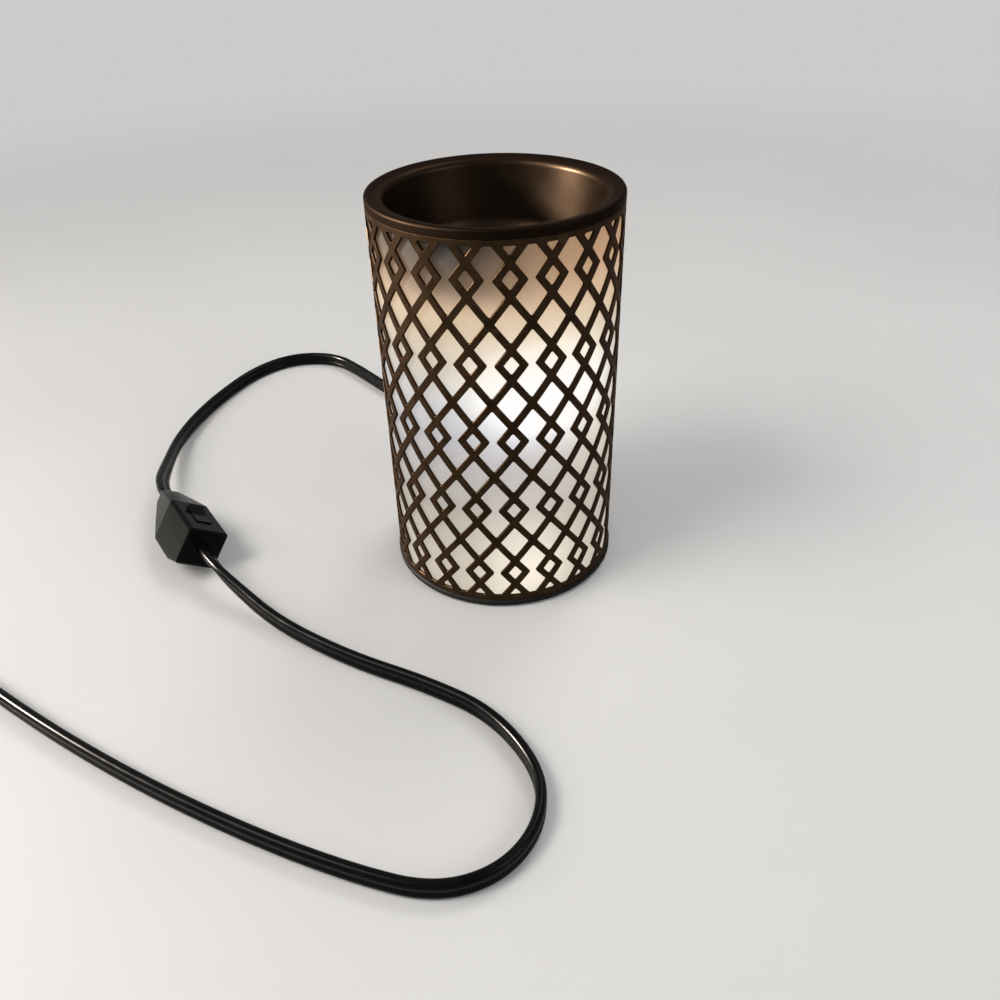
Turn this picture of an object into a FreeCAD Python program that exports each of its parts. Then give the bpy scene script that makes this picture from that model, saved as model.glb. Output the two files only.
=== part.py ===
"""Electric fragrance warmer: a lit lattice cylinder with a dish on top, a flat cord and an inline switch.

Millimetres, +Z up. The origin is on the table, under the middle of the cylinder.
The front faces -Y, the cord leaves at the back, and an azimuth of 0 is the front.
"""

import FreeCAD, Part
import math
import os

V = FreeCAD.Vector
UP = V(0, 0, 1)
ORIGIN = V(0, 0, 0)

# Lattice sleeve
sleeve_radius = 48.0
sleeve_sheet = 1.0
column_count = 20
row_count = 5
row_pitch = 31.55
window_margin = 11.8          # from the middle of an end row to the edge of the pierced window
tip_reach = 4.65              # from a column's middle to the middle of the strip at a diamond's side tip
strip_width = 2.65            # square across the strip
lower_ring = 2.7
upper_ring = 2.0
column_azimuth = 5.13         # degrees, of the first column
seam_width = 5.5
flats_per_column = 2          # the sheet is drawn as narrow flats that stay within 0.15 mm of round

# Base housing, open below
foot_stand = 0.8              # how far the feet lift the base
flange_thickness = 2.6
flange_overhang = 0.6
flange_rounding = 0.7
tub_inset = 10.0              # of the tub, from the sleeve's outside
tub_height = 13.0             # above the flange
tub_draft = 1.6
wall = 2.0
spigot_height = 2.4
spigot_wall = 1.2
boss_radius = 3.6
boss_depth = 9.0
lead_hole_radius = 4.5
lead_hole_gap = 1.3           # from the socket's collar

# Bottom cover, feet and screws
cover_thickness = 1.5
cover_inset = 6.3             # of the cover, from the sleeve's outside
fit_gap = 0.3
foot_radius = 4.6
foot_recess = 0.7
foot_inset = 7.7              # of the feet's circle, from the cover's edge
foot_count = 4
vent_count = 12
vent_length = 9.0
vent_width = 2.0
vent_rounding = 0.95
vent_circle = 16.0
cover_screw_inset = 12.7
cover_screw_count = 3
screw_radius = 1.4
screw_head_radius = 2.7
screw_head_height = 1.2
cover_screw_length = 9.0
bracket_screw_length = 5.0
screw_gap = 0.1

# Diffuser
diffuser_gap = 0.6            # to the inside of the sleeve
diffuser_wall = 2.4
diffuser_top_gap = 0.5        # to the underside of the dish

# Cord outlet at the back of the base
outlet_width = 14.0
outlet_height = 7.5           # from the underside of the flange
outlet_setback = 0.2          # of its end face, from the sleeve's outside
outlet_wall = 3.2             # the end wall that holds the strain relief
outlet_notch_gap = 0.5
relief_collar = (11.0, 6.4, 1.4)   # width, height and thickness
relief_neck = (8.4, 5.0)
relief_flange = (11.0, 7.0, 1.6)
relief_root = (9.6, 6.4)
relief_tip = (8.2, 5.8)
relief_roundness = 0.96       # of half the height, that rounds its corners
relief_length = 22.0
relief_height = 4.1           # of its middle line above the table
relief_straight = 16.0        # of cord behind it

# Dish
lip_height = 3.6
lip_rounding = 1.3
crest_width = 1.6
shoulder_width = 6.8
shoulder_drop = 1.3
mouth_rounding = 3.0
bowl_depth = 29.2
bowl_draft = 10.0             # degrees
floor_rounding = 8.0
dish_wall = 1.3
skirt_depth = 5.4
skirt_wall = 1.3
skirt_gap = 0.4

# Reflector, bracket and socket, beside the middle line
reflector_thickness = 0.5
reflector_inset = 1.5
socket_offset = 11.0
bracket_thickness = 1.2
bracket_length = 42.0
bracket_width = 15.0
bracket_rise = 3.0
bracket_crown = 22.0
bracket_screw_spacing = 32.0
pan_head_height = 1.5
pan_head_edge = 0.5
socket_radius = 17.0
socket_height = 30.0
socket_floor = 5.0
socket_collar = 1.2
socket_collar_height = 7.0
socket_edge = 0.6
shell_gap = 0.2
shell_wall = 0.5
shell_height = 23.0
shell_lip = 2.5
rivet_radius = 2.0
rivet_head_radius = 3.8
rivet_head_height = 1.0
rivet_depth = 3.0
contact_disc_radius = 5.0
contact_disc_height = 1.2
contact_spring_height = 2.6
terminal_angle = 28.0         # degrees, of each terminal screw from straight back
terminal_height = 3.4         # above the underside of the socket
terminal_radius = 1.3
terminal_head_radius = 2.6
terminal_head_height = 1.4
terminal_depth = 2.6
terminal_proud = 0.4          # of the screw's head beyond the collar

# Bulb
cap_radius = 13.1
cap_clearance = 0.05
cap_height = 17.0
cap_wall = 0.4
cap_rounding = 1.6
insulator_height = 4.5
insulator_tip = 5.0
insulator_radius = 8.0
insulator_edge = 1.0          # of its rim below the cap
bulb_contact_radius = 4.5
bulb_contact_height = 1.5
contact_gap = 0.3
glass_radius = 23.8
glass_neck_radius = 12.4
glass_height = 62.0
glass_seat = 5.0              # of the neck inside the cap
glass_wall = 0.8
neck_height = 4.0             # of straight neck above the cap
shoulder_height = 26.0        # above the cap, where the glass reaches its widest
flare_share = 0.8             # of the glass radius, that rounds both ends of the flare
crown_flat = 0.1
stem_radius = 4.0
stem_foot_radius = 8.0
stem_height = 22.0
filament_height = 38.0        # above the cap
filament_radius = 9.0
filament_wire = 0.5
filament_spacing = 2.4        # of its legs on the stem
filament_root = 2.0           # of straight leg

# Flat two-core cord, drawn as a plain round tube of its mean size
cord_tube = 5.6
lead_tube = 2.0
lead_spacing = 3.4
lead_lift = 3.0               # half way from the tunnel to the hole in the deck
lead_below = 5.0
lead_above = 2.0
lead_tail = 4.0               # of straight lead at its terminal

# Inline switch, lying on one long edge
switch_length = 48.0
switch_width = 18.3
switch_height = 17.8          # of its square front end
switch_belly = 3.4            # that hangs below that height behind the front end
belly_start = 10.0
switch_box_length = 27.0      # where its body starts to narrow
shoulder_station = 37.0
shoulder_share = 0.55         # of the way from the neck's size to the body's
switch_neck_width = 9.2
switch_neck_height = 8.6
switch_shell = 1.8
switch_rounding = 1.6
switch_hollow_rounding = 0.6
switch_front = (-132.6, -21.7)
switch_azimuth = 123.8        # degrees from +X, of the long axis towards its tail
switch_roll = 34.7            # degrees, to the right as seen from its front end
switch_grip = 3.0             # how far a cord's end runs in
switch_straight = 13.0        # of cord outside each end
cord_hole_gap = 0.2
rocker_length = 13.0
rocker_width = 7.0
rocker_reach = 1.4            # above the casing at its high end
rocker_depth = 4.0
rocker_foot_share = 0.6
rocker_station = 15.0         # of the rocker's pin behind the front end
rocker_tilt = 7.0             # degrees, as it lies switched on
rocker_pin_radius = 1.0
rocker_pin_depth = 2.6        # of the pin below the top face
rocker_gap = 0.45
pin_clearance = 0.05
switch_screw_station = 24.0
ear_thickness = 1.4
lug_width = 6.0
lug_wall = 1.2                # under the rocker's pin
switch_screw_boss = 2.6
switch_screw_hold = 4.1       # of the screw in the upper half
contact_width = 4.5
contact_sheet = 0.6
contact_post = 12.0
contact_foot = 4.0
contact_spacing = 6.0

# Plug
plug_axis_height = 8.9
plug_length = 26.0
plug_width = 25.0
plug_tail = 13.0
plug_tail_width = 9.0
plug_rounding = 3.0
blade_length = 17.0
blade_width = 6.4
blade_thickness = 1.5
blade_spacing = 12.7
blade_hole_radius = 1.6
blade_hole_station = 4.25     # from the tip
blade_root = 6.0              # of the blade inside the moulding
plug_groove_count = 3
plug_groove_radius = 0.9

# Coil of the cord that is put away
coil_radius = 42.0
coil_step = 3.2               # the radius lost or won in half a turn
coil_turns_down = 1           # on the table, spiralling in, before it climbs and comes out again on top
plug_lead = 27.0              # of straight cord from the coil to the plug

# Cuts run this far past the faces that they open
cut_over = 1.0

# Worked out from the sizes above
tub_radius = sleeve_radius - tub_inset
cover_radius = sleeve_radius - cover_inset
foot_circle = cover_radius - foot_inset
cover_screw_circle = cover_radius - cover_screw_inset
reflector_radius = tub_radius - reflector_inset
outlet_reach = sleeve_radius - outlet_setback
lead_hole_station = socket_radius + socket_collar + lead_hole_radius + lead_hole_gap
tunnel_start = tub_radius - wall - cut_over
seat_height = foot_stand + flange_thickness
window_height = 2 * window_margin + (row_count - 1) * row_pitch
sleeve_height = lower_ring + window_height + upper_ring
sleeve_top = seat_height + sleeve_height
sleeve_inside = sleeve_radius - sleeve_sheet
column_pitch = 2 * math.pi * sleeve_radius / column_count
strip_slope = row_pitch / (column_pitch + 2 * tip_reach)
strip_half = strip_width / math.sin(math.atan(strip_slope)) / 2
crossing_rise = strip_slope * tip_reach
first_row = seat_height + lower_ring + window_margin
diffuser_outside = sleeve_inside - diffuser_gap
diffuser_inside = diffuser_outside - diffuser_wall
diffuser_height = sleeve_top - diffuser_top_gap - seat_height
base_radius = sleeve_radius + flange_overhang
spigot_outside = diffuser_inside - fit_gap
recess_radius = cover_radius + fit_gap
cover_top = foot_stand + cover_thickness
deck_top = seat_height + tub_height
rim_top = sleeve_top + lip_height
bowl_floor = rim_top - bowl_depth
relief_end = outlet_reach + relief_flange[2] + relief_length
bracket_foot = deck_top + reflector_thickness
bracket_screw_places = [socket_offset + side * bracket_screw_spacing / 2 for side in (-1, 1)]
socket_bottom = bracket_foot + bracket_rise + bracket_thickness
socket_top = socket_bottom + socket_height
shell_outside = cap_radius + cap_clearance + shell_wall
terminal_angles = (terminal_angle, -terminal_angle)
cap_bottom = (socket_bottom + socket_floor + contact_spring_height + contact_gap + bulb_contact_height
              + insulator_height)
cap_top = cap_bottom + cap_height
glass_top = cap_top + glass_height
stem_top = cap_top + stem_height
switch_underside = switch_height / 2 + switch_belly
lean = math.radians(switch_roll)
switch_middle = (switch_rounding + (switch_width / 2 - switch_rounding) * math.sin(lean)
                 + (switch_underside - switch_rounding) * math.cos(lean))
coil_layer = plug_axis_height - cord_tube / 2
coil_quarters = 8 * coil_turns_down + 2


# The cord's route on the table, chosen by hand: round the back to the switch, and on to the coil
ARCH = [(-9, 105, 3.3), (-33, 121, 2.8), (-63, 138, 2.8), (-84, 165, 2.8), (-103, 186, 2.8),
        (-130, 188, 2.8), (-151, 171, 2.8), (-165, 141, 2.8), (-173, 114, 3.2), (-176, 85, 4.6), (-172, 54, 9)]
BEND = [(-113, -43, 8.5), (-93, -60.5, 3.6), (-61, -81, 2.8), (-31, -95, 2.8), (-6, -110.5, 2.8),
        (10.5, -136.5, 2.8), (9.5, -157.5, 2.8), (-3, -174, 2.8), (-23.5, -180.5, 2.8), (-49.5, -173, 2.8),
        (-84.5, -158.5, 2.8), (-126, -137.5, 2.8), (-168, -112.5, 2.8), (-212, -82.5, 2.8), (-241, -66, 2.8)]
run_share = 0.45              # how much of its shorter run an arc takes at each of its points


def save(name, shape):
    shape.exportStep("parts/" + name + ".step")


def joined(points, radii, closed=False):
    """Edges of straight runs through the points, with a tangent arc of the given radius at each point."""
    count = len(points)
    starts = list(points)
    ends = list(points)
    arcs = [None] * count
    for i in range(count):
        if not radii[i]:
            continue
        before = (points[i] - points[i - 1]).normalize()
        after = (points[(i + 1) % count] - points[i]).normalize()
        half = before.getAngle(after) / 2
        cut = radii[i] * math.tan(half)
        starts[i] = points[i] - before * cut
        ends[i] = points[i] + after * cut
        inward = (after - before).normalize()
        middle = points[i] + inward * (radii[i] / math.cos(half) - radii[i])
        arcs[i] = Part.Arc(starts[i], middle, ends[i]).toShape()
    edges = []
    for i in range(count):
        if arcs[i]:
            edges.append(arcs[i])
        nearby = (i + 1) % count
        if (closed or nearby) and starts[nearby].distanceToPoint(ends[i]) > 1e-6:
            edges.append(Part.makeLine(ends[i], starts[nearby]))
    return edges


def turned(half, x=0.0, y=0.0):
    """A solid of revolution from the (radius, height, rounding) corners of half its section."""
    points = [V(radius, 0, height) for radius, height, rounding in half]
    edges = joined(points, [rounding for radius, height, rounding in half], True)
    body = Part.Face(Part.Wire(edges)).revolve(ORIGIN, UP, 360)
    body.translate(V(x, y, 0))
    return body


def disc(radius, height, z, x=0.0, y=0.0):
    return Part.makeCylinder(radius, height, V(x, y, z))


def ring(outside, inside, height, z):
    return disc(outside, height, z).cut(disc(inside, height, z))


def section(width, height, radius, y=0.0, x=0.0, z=0.0):
    """The wire of an upright rectangle with rounded corners, facing along Y."""
    corners = [V(x + i * width / 2, y, z + j * height / 2) for i, j in ((-1, -1), (1, -1), (1, 1), (-1, 1))]
    return Part.Wire(joined(corners, [radius] * 4, True))


def bar(wire, length):
    return Part.Face(wire).extrude(V(0, length, 0))


def rounded_box(width, depth, height, radius, base):
    """A box centred on its base point in X and Y, with its upright edges rounded."""
    box = Part.makeBox(width, depth, height, base - V(width / 2, depth / 2, 0))
    upright = [e for e in box.Edges if abs(e.Vertexes[0].Z - e.Vertexes[1].Z) > height / 2]
    return box.makeFillet(radius, upright)


def places(count, circle, first):
    """Points evenly spaced on a circle about the middle line, from an azimuth in degrees."""
    angles = [math.radians(first + 360.0 * i / count) for i in range(count)]
    return [(circle * math.sin(a), -circle * math.cos(a)) for a in angles]


def around(shape, count):
    """Copies of a shape, evenly spaced about the middle line."""
    copies = []
    for i in range(count):
        copy = shape.copy()
        copy.rotate(ORIGIN, UP, 360.0 * i / count)
        copies.append(copy)
    return copies


def report(name, solid, path, diameter):
    expected = math.pi * diameter ** 2 / 4 * path.Length
    print(name, "length", round(path.Length, 1), "volume over section times length",
          round(solid.Volume / expected, 4), "valid", solid.isValid())


def tube(name, points, diameter):
    """A round tube along straight runs, with an arc at each point as large as its two runs allow."""
    radii = [0]
    for before, here, after in zip(points, points[1:], points[2:]):
        half = (here - before).getAngle(after - here) / 2
        shorter = min((here - before).Length, (after - here).Length)
        radii.append(run_share * shorter / math.tan(half))
    radii.append(0)
    path = Part.Wire(joined(points, radii))
    circle = Part.Wire(Part.Circle(points[0], points[1] - points[0], diameter / 2).toShape())
    solid = path.makePipeShell([circle], True, False)
    print(name, "radii", [round(radius, 1) for radius in radii[1:-1]])
    report(name, solid, path, diameter)
    return solid


foot_places = places(foot_count, foot_circle, 45)
cover_screw_places = places(cover_screw_count, cover_screw_circle, 0)


# Lattice sleeve

def cell(points, azimuth):
    """A prism through the sheet, from the outline of a cell in a flat view of its column."""
    corners = [V(x, -sleeve_radius - cut_over, z) for x, z in points]
    face = Part.Face(Part.makePolygon(corners + [corners[0]]))
    prism = face.extrude(V(0, sleeve_sheet + 3 * cut_over, 0))
    prism.rotate(ORIGIN, UP, azimuth)
    return prism


def diamond(z, half_width):
    rise = strip_slope * half_width
    return [(0, z - rise), (half_width, z), (0, z + rise), (-half_width, z)]


def edge_triangle(z, way):
    tip = crossing_rise + strip_slope * strip_half
    half_width = (window_margin - tip) / strip_slope
    return [(0, z + way * tip), (half_width, z + way * window_margin), (-half_width, z + way * window_margin)]


def waisted_cell(z, cut_below, cut_above):
    """The cell between two columns: two lobes that meet in a waist beside the small diamonds."""
    waist = column_pitch / 2 - tip_reach - strip_half
    lobe = column_pitch / 2 - strip_half

    def right_side(way, is_cut):
        if is_cut:
            flat = lobe - (window_margin - crossing_rise) / strip_slope
            return [(lobe, way * crossing_rise), (flat, way * window_margin), (-flat, way * window_margin),
                    (-lobe, way * crossing_rise)]
        return [(lobe, way * crossing_rise), (0, way * (crossing_rise + strip_slope * lobe)),
                (-lobe, way * crossing_rise)]

    above = [(waist, 0)] + right_side(1, cut_above) + [(-waist, 0)]
    below = right_side(-1, cut_below)
    return [(x, z + dz) for x, dz in above + below[::-1]]


def seam_cells(z):
    """What is left of the waisted cell on either side of the sleeve's upright seam."""
    edge = seam_width / 2
    waist = column_pitch / 2 - tip_reach - strip_half
    lobe = column_pitch / 2 - strip_half
    near = strip_slope * (edge - waist)
    far = crossing_rise + strip_slope * (lobe - edge)
    cells = []
    for side in (1, -1):
        for way in (1, -1):
            cells.append([(side * edge, z + way * near), (side * lobe, z + way * crossing_rise),
                          (side * edge, z + way * far)])
    return cells


def flat_sided(radius):
    """A solid drum of narrow flats whose middles lie at the given radius, less half their sagitta."""
    count = column_count * flats_per_column
    half_turn = math.pi / count
    corner = radius * (1 + 1 / math.cos(half_turn)) / 2
    corners = []
    for i in range(count + 1):
        a = math.radians(column_azimuth) + (2 * i + 1) * half_turn
        corners.append(V(corner * math.sin(a), -corner * math.cos(a), seat_height))
    return Part.Face(Part.makePolygon(corners)).extrude(V(0, 0, sleeve_height))


def outlet_clearance():
    """The room that the sleeve and the diffuser leave round the cord outlet at the back."""
    width = outlet_width + 2 * outlet_notch_gap
    top = foot_stand + outlet_height + outlet_notch_gap
    return Part.makeBox(width, base_radius, top - seat_height, V(-width / 2, 0, seat_height))


def lattice_sleeve():
    cells = []
    step = 360.0 / column_count
    seam_column = column_count // 2 - 1
    rows = [first_row + i * row_pitch for i in range(row_count)]
    for column in range(column_count):
        azimuth = column_azimuth + step * column
        for z in rows:
            cells.append(cell(diamond(z, tip_reach - strip_half), azimuth))
        for z in rows[:-1]:
            cells.append(cell(diamond(z + row_pitch / 2, column_pitch / 2 - strip_half), azimuth))
        cells.append(cell(edge_triangle(rows[0], -1), azimuth))
        cells.append(cell(edge_triangle(rows[-1], 1), azimuth))
        azimuth += step / 2
        for z in rows:
            if column == seam_column:
                cells += [cell(points, azimuth) for points in seam_cells(z)]
            else:
                cells.append(cell(waisted_cell(z, z == rows[0], z == rows[-1]), azimuth))
    sheet = flat_sided(sleeve_radius).cut(flat_sided(sleeve_inside))
    notch = outlet_clearance()
    return sheet.cut(cells + [notch])


# Base housing and what closes it

def base_housing():
    foot = tub_radius + tub_draft
    under = deck_top - wall
    half = [(recess_radius, foot_stand, 0), (base_radius, foot_stand, flange_rounding),
            (base_radius, seat_height, flange_rounding), (spigot_outside, seat_height, 0),
            (spigot_outside, seat_height + spigot_height, 0),
            (spigot_outside - spigot_wall, seat_height + spigot_height, 0),
            (spigot_outside - spigot_wall, seat_height, 0), (foot, seat_height, 0),
            (tub_radius, deck_top, wall), (0, deck_top, 0), (0, under, 0), (tub_radius - wall, under, 0),
            (foot - wall, cover_top, 0), (recess_radius, cover_top, 0)]
    outlet = Part.makeBox(outlet_width, outlet_reach - tub_radius, outlet_height,
                          V(-outlet_width / 2, tub_radius, foot_stand))
    bosses = [disc(boss_radius, under - cover_top, cover_top, x, y) for x, y in cover_screw_places]
    bosses += [disc(boss_radius, boss_depth, under - boss_depth, x, 0) for x in bracket_screw_places]
    housing = turned(half).fuse(outlet).fuse(bosses)
    screw_hole = screw_radius + screw_gap
    deck_hole_low = deck_top - bracket_screw_length - cut_over
    holes = [disc(recess_radius, cover_thickness, foot_stand)]
    holes += [disc(screw_hole, cover_screw_length, cover_top - cut_over, x, y) for x, y in cover_screw_places]
    holes += [disc(screw_hole, deck_top + cut_over - deck_hole_low, deck_hole_low, x, 0)
              for x in bracket_screw_places]
    holes.append(disc(lead_hole_radius, wall + 2 * cut_over, under - cut_over, socket_offset,
                      lead_hole_station))
    return housing.cut(holes + outlet_cuts())


def outlet_cuts():
    """The tunnel for the leads, the pocket and slot for the strain relief, and the flat for its flange."""
    tunnel_width = relief_neck[0] - outlet_wall / 2
    tunnel_low = cover_top - cut_over
    tunnel_top = relief_height + relief_neck[1] / 2
    tunnel = Part.makeBox(tunnel_width, outlet_reach - tunnel_start, tunnel_top - tunnel_low,
                          V(-tunnel_width / 2, tunnel_start, tunnel_low))
    inner = outlet_reach - outlet_wall
    pocket_start = inner - relief_collar[2] - fit_gap
    pocket = outlet_notch(relief_collar[0], relief_collar[1], pocket_start, inner)
    slot = outlet_notch(relief_neck[0], relief_neck[1], pocket_start, base_radius + cut_over)
    flat_width = relief_flange[0] + 2 * outlet_notch_gap
    flat = Part.makeBox(flat_width, base_radius - outlet_reach + cut_over, outlet_height + 2 * cut_over,
                        V(-flat_width / 2, outlet_reach, foot_stand - cut_over))
    return [tunnel, pocket, slot, flat]


def outlet_notch(width, height, start, end):
    """A notch, open below, that a part of the strain relief slides up into."""
    low = foot_stand - cut_over
    top = relief_height + height / 2 + outlet_notch_gap / 2
    full = width + outlet_notch_gap
    return Part.makeBox(full, end - start, top - low, V(-full / 2, start, low))


def bottom_cover():
    cover = disc(cover_radius, cover_thickness, foot_stand)
    low = foot_stand - cut_over
    seats = [disc(foot_radius + screw_gap, foot_recess + cut_over, low, x, y) for x, y in foot_places]
    sinks = [countersunk(x, y, cover_thickness + cut_over, screw_gap) for x, y in cover_screw_places]
    vent = rounded_box(vent_width, vent_length, cover_thickness + 2 * cut_over, vent_rounding,
                       V(0, -vent_circle, low))
    return cover.cut(seats + sinks + around(vent, vent_count))


def countersunk(x, y, length, spare=0.0):
    """A screw put in from below, its head flush with the underside of the cover."""
    head = Part.makeCone(screw_head_radius + spare, screw_radius + spare, screw_head_height,
                         V(x, y, foot_stand))
    shank = disc(screw_radius + spare, length, foot_stand, x, y)
    return head.fuse(shank)


def cover_screws():
    length = cover_thickness + cover_screw_length - 2 * cut_over
    return Part.Compound([countersunk(x, y, length) for x, y in cover_screw_places])


def rubber_feet():
    height = foot_stand + foot_recess
    edge = foot_recess / 2
    half = [(0, 0, 0), (foot_radius - edge, 0, 0), (foot_radius, edge, 0), (foot_radius, height, 0),
            (0, height, 0)]
    return Part.Compound([turned(half, x, y) for x, y in foot_places])


# Diffuser and dish

def frosted_diffuser():
    tube_wall = ring(diffuser_outside, diffuser_inside, diffuser_height, seat_height)
    return tube_wall.cut(outlet_clearance())


def warming_dish():
    slope = math.tan(math.radians(bowl_draft))
    thick = dish_wall / math.cos(math.radians(bowl_draft))
    shoulder = rim_top - shoulder_drop
    mouth = sleeve_radius - shoulder_width
    corner = mouth - (shoulder - bowl_floor) * slope
    under = bowl_floor - dish_wall
    skirt = diffuser_inside - skirt_gap
    half = [(0, bowl_floor, 0), (corner, bowl_floor, floor_rounding), (mouth, shoulder, mouth_rounding),
            (sleeve_radius - crest_width, rim_top, 0), (sleeve_radius, rim_top, lip_rounding),
            (sleeve_radius, sleeve_top, 0), (skirt, sleeve_top, 0), (skirt, sleeve_top - skirt_depth, 0),
            (skirt - skirt_wall, sleeve_top - skirt_depth, 0), (skirt - skirt_wall, sleeve_top, 0),
            (mouth + thick - (shoulder - sleeve_top) * slope, sleeve_top, 0),
            (corner + thick - dish_wall * slope, under, floor_rounding + dish_wall), (0, under, 0)]
    return turned(half)


# Reflector, bracket and socket

def deck_reflector():
    plate = disc(reflector_radius, reflector_thickness, deck_top)
    through = reflector_thickness + 2 * cut_over
    holes = [disc(screw_radius + screw_gap, through, deck_top - cut_over, x, 0) for x in bracket_screw_places]
    holes.append(disc(lead_hole_radius, through, deck_top - cut_over, socket_offset, lead_hole_station))
    return plate.cut(holes)


def socket_bracket():
    low = bracket_foot
    high = low + bracket_rise
    end = bracket_length / 2
    rise = bracket_crown / 2
    step = bracket_thickness
    under = [(-end, low), (-rise, low), (-rise, high), (rise, high), (rise, low), (end, low)]
    over = [(end, low + step), (rise + step, low + step), (rise + step, high + step),
            (-rise - step, high + step), (-rise - step, low + step), (-end, low + step)]
    corners = [V(socket_offset + x, -bracket_width / 2, z) for x, z in under + over]
    strap = Part.Face(Part.makePolygon(corners + [corners[0]])).extrude(V(0, bracket_width, 0))
    through = step + 2 * cut_over
    holes = [disc(screw_radius + screw_gap, through, low - cut_over, x, 0) for x in bracket_screw_places]
    holes.append(disc(rivet_radius + screw_gap, through, high - cut_over, socket_offset, 0))
    return strap.cut(holes)


def bracket_screws():
    under = bracket_foot + bracket_thickness
    top = under + pan_head_height
    length = bracket_screw_length + bracket_thickness
    head = [(0, under, 0), (screw_head_radius, under, 0), (screw_head_radius, top - pan_head_edge, 0),
            (screw_head_radius - pan_head_edge, top, 0), (0, top, 0)]
    return Part.Compound([turned(head, x, 0).fuse(disc(screw_radius, length, under - length, x, 0))
                          for x in bracket_screw_places])


def socket_body():
    inside = socket_bottom + socket_floor
    bore = shell_outside + shell_gap
    collar = socket_radius + socket_collar
    collar_top = socket_bottom + socket_collar_height
    half = [(0, socket_bottom, 0), (collar, socket_bottom, socket_edge), (collar, collar_top, socket_edge),
            (socket_radius, collar_top, 0), (socket_radius, socket_top, socket_edge), (bore, socket_top, 0),
            (bore, inside, 0), (0, inside, 0)]
    body = turned(half, socket_offset, 0)
    low = socket_bottom - cut_over
    cuts = [disc(rivet_radius + screw_gap, rivet_depth + cut_over, low, socket_offset, 0)]
    cuts += [terminal(angle, screw_gap, cut_over) for angle in terminal_angles]
    return body.cut(cuts)


def terminal(angle, spare=0.0, beyond=0.0):
    """A terminal screw set into the side of the socket, square to it, or the room for it."""
    away = terminal_way(angle)
    seat = terminal_seat(angle)
    depth = terminal_depth + spare
    shank = Part.makeCylinder(terminal_radius + spare, depth, seat - away * depth, away)
    head = Part.makeCylinder(terminal_head_radius + spare, terminal_head_height + beyond, seat, away)
    return shank.fuse(head)


def terminal_way(angle):
    return V(math.sin(math.radians(angle)), math.cos(math.radians(angle)), 0)


def terminal_seat(angle):
    radius = socket_radius + socket_collar + terminal_proud - terminal_head_height
    return V(socket_offset, 0, socket_bottom + terminal_height) + terminal_way(angle) * radius


def terminal_screws():
    return Part.Compound([terminal(angle) for angle in terminal_angles])


def socket_screw_shell():
    bottom = socket_bottom + socket_floor
    inside = shell_outside - shell_wall
    top = bottom + shell_height
    floor = bottom + shell_wall
    half = [(inside - shell_lip, bottom, 0), (shell_outside, bottom, 0), (shell_outside, top, 0),
            (inside, top, 0), (inside, floor, 0), (inside - shell_lip, floor, 0)]
    return turned(half, socket_offset, 0)


def socket_centre_contact():
    bottom = socket_bottom + socket_floor
    over = bottom + contact_disc_height
    top = bottom + contact_spring_height
    tongue = contact_disc_radius / 2
    half = [(0, bottom, 0), (contact_disc_radius, bottom, 0), (contact_disc_radius, over, 0),
            (tongue, over, 0), (tongue, top, tongue / 2), (0, top, 0)]
    return turned(half, socket_offset, 0)


def socket_rivet():
    under = bracket_foot + bracket_rise
    low = under - rivet_head_height
    top = socket_bottom + rivet_depth - screw_gap
    half = [(0, low, 0), (rivet_head_radius, low, rivet_head_height / 2), (rivet_head_radius, under, 0),
            (rivet_radius, under, 0), (rivet_radius, top, 0), (0, top, 0)]
    return turned(half, socket_offset, 0)


# Bulb

def bulb_cap():
    inside = cap_radius - cap_wall
    floor = cap_bottom + cap_wall
    half = [(inside, cap_top, 0), (cap_radius, cap_top, 0), (cap_radius, cap_bottom, cap_rounding),
            (insulator_radius, cap_bottom, 0), (insulator_radius, floor, 0),
            (inside, floor, cap_rounding - cap_wall)]
    return turned(half, socket_offset, 0)


def bulb_insulator():
    bottom = cap_bottom - insulator_height
    top = cap_bottom + cap_wall
    half = [(0, bottom, 0), (insulator_tip, bottom, 0), (insulator_radius, cap_bottom - insulator_edge, 0),
            (insulator_radius, top, 0), (0, top, 0)]
    return turned(half, socket_offset, 0)


def bulb_centre_contact():
    top = cap_bottom - insulator_height
    bottom = top - bulb_contact_height
    half = [(0, bottom, 0), (bulb_contact_radius, bottom, bulb_contact_height / 2),
            (bulb_contact_radius, top, 0), (0, top, 0)]
    return turned(half, socket_offset, 0)


def bulb_outline(inset, start):
    """Half of the bulb's section: a neck that opens into a round crown."""
    top = glass_top - inset
    crown = glass_radius - inset
    neck = glass_neck_radius - inset
    flare = glass_radius * flare_share
    return [(0, start, 0), (neck, start, 0), (neck, cap_top + neck_height, flare),
            (crown, cap_top + shoulder_height, flare), (crown, top, crown - crown_flat), (0, top, 0)]


def bulb_glass():
    start = cap_top - glass_seat
    solid = turned(bulb_outline(0, start), socket_offset, 0)
    hollow = turned(bulb_outline(glass_wall, start - cut_over), socket_offset, 0)
    return solid.cut(hollow)


def bulb_stem():
    bottom = cap_bottom + cap_wall
    flare = stem_foot_radius - stem_radius
    half = [(0, bottom, 0), (stem_foot_radius, bottom, 0), (stem_radius, cap_top, flare),
            (stem_radius, stem_top, stem_radius / 2), (0, stem_top, 0)]
    return turned(half, socket_offset, 0)


def bulb_filament():
    """A wire from the stem up one side, round the back of the bulb and down the other side."""
    top = cap_top + filament_height
    half = filament_spacing / 2
    reach = filament_radius
    line = [(-half, 0, stem_top), (-half, 0, stem_top + filament_root), (-reach, 0, top - filament_root),
            (0, reach / 2, top), (reach, 0, top - filament_root), (half, 0, stem_top + filament_root),
            (half, 0, stem_top)]
    return tube("bulb_filament", [V(socket_offset + x, y, z) for x, y, z in line], filament_wire * 2)


# Cord, strain relief and leads

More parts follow.
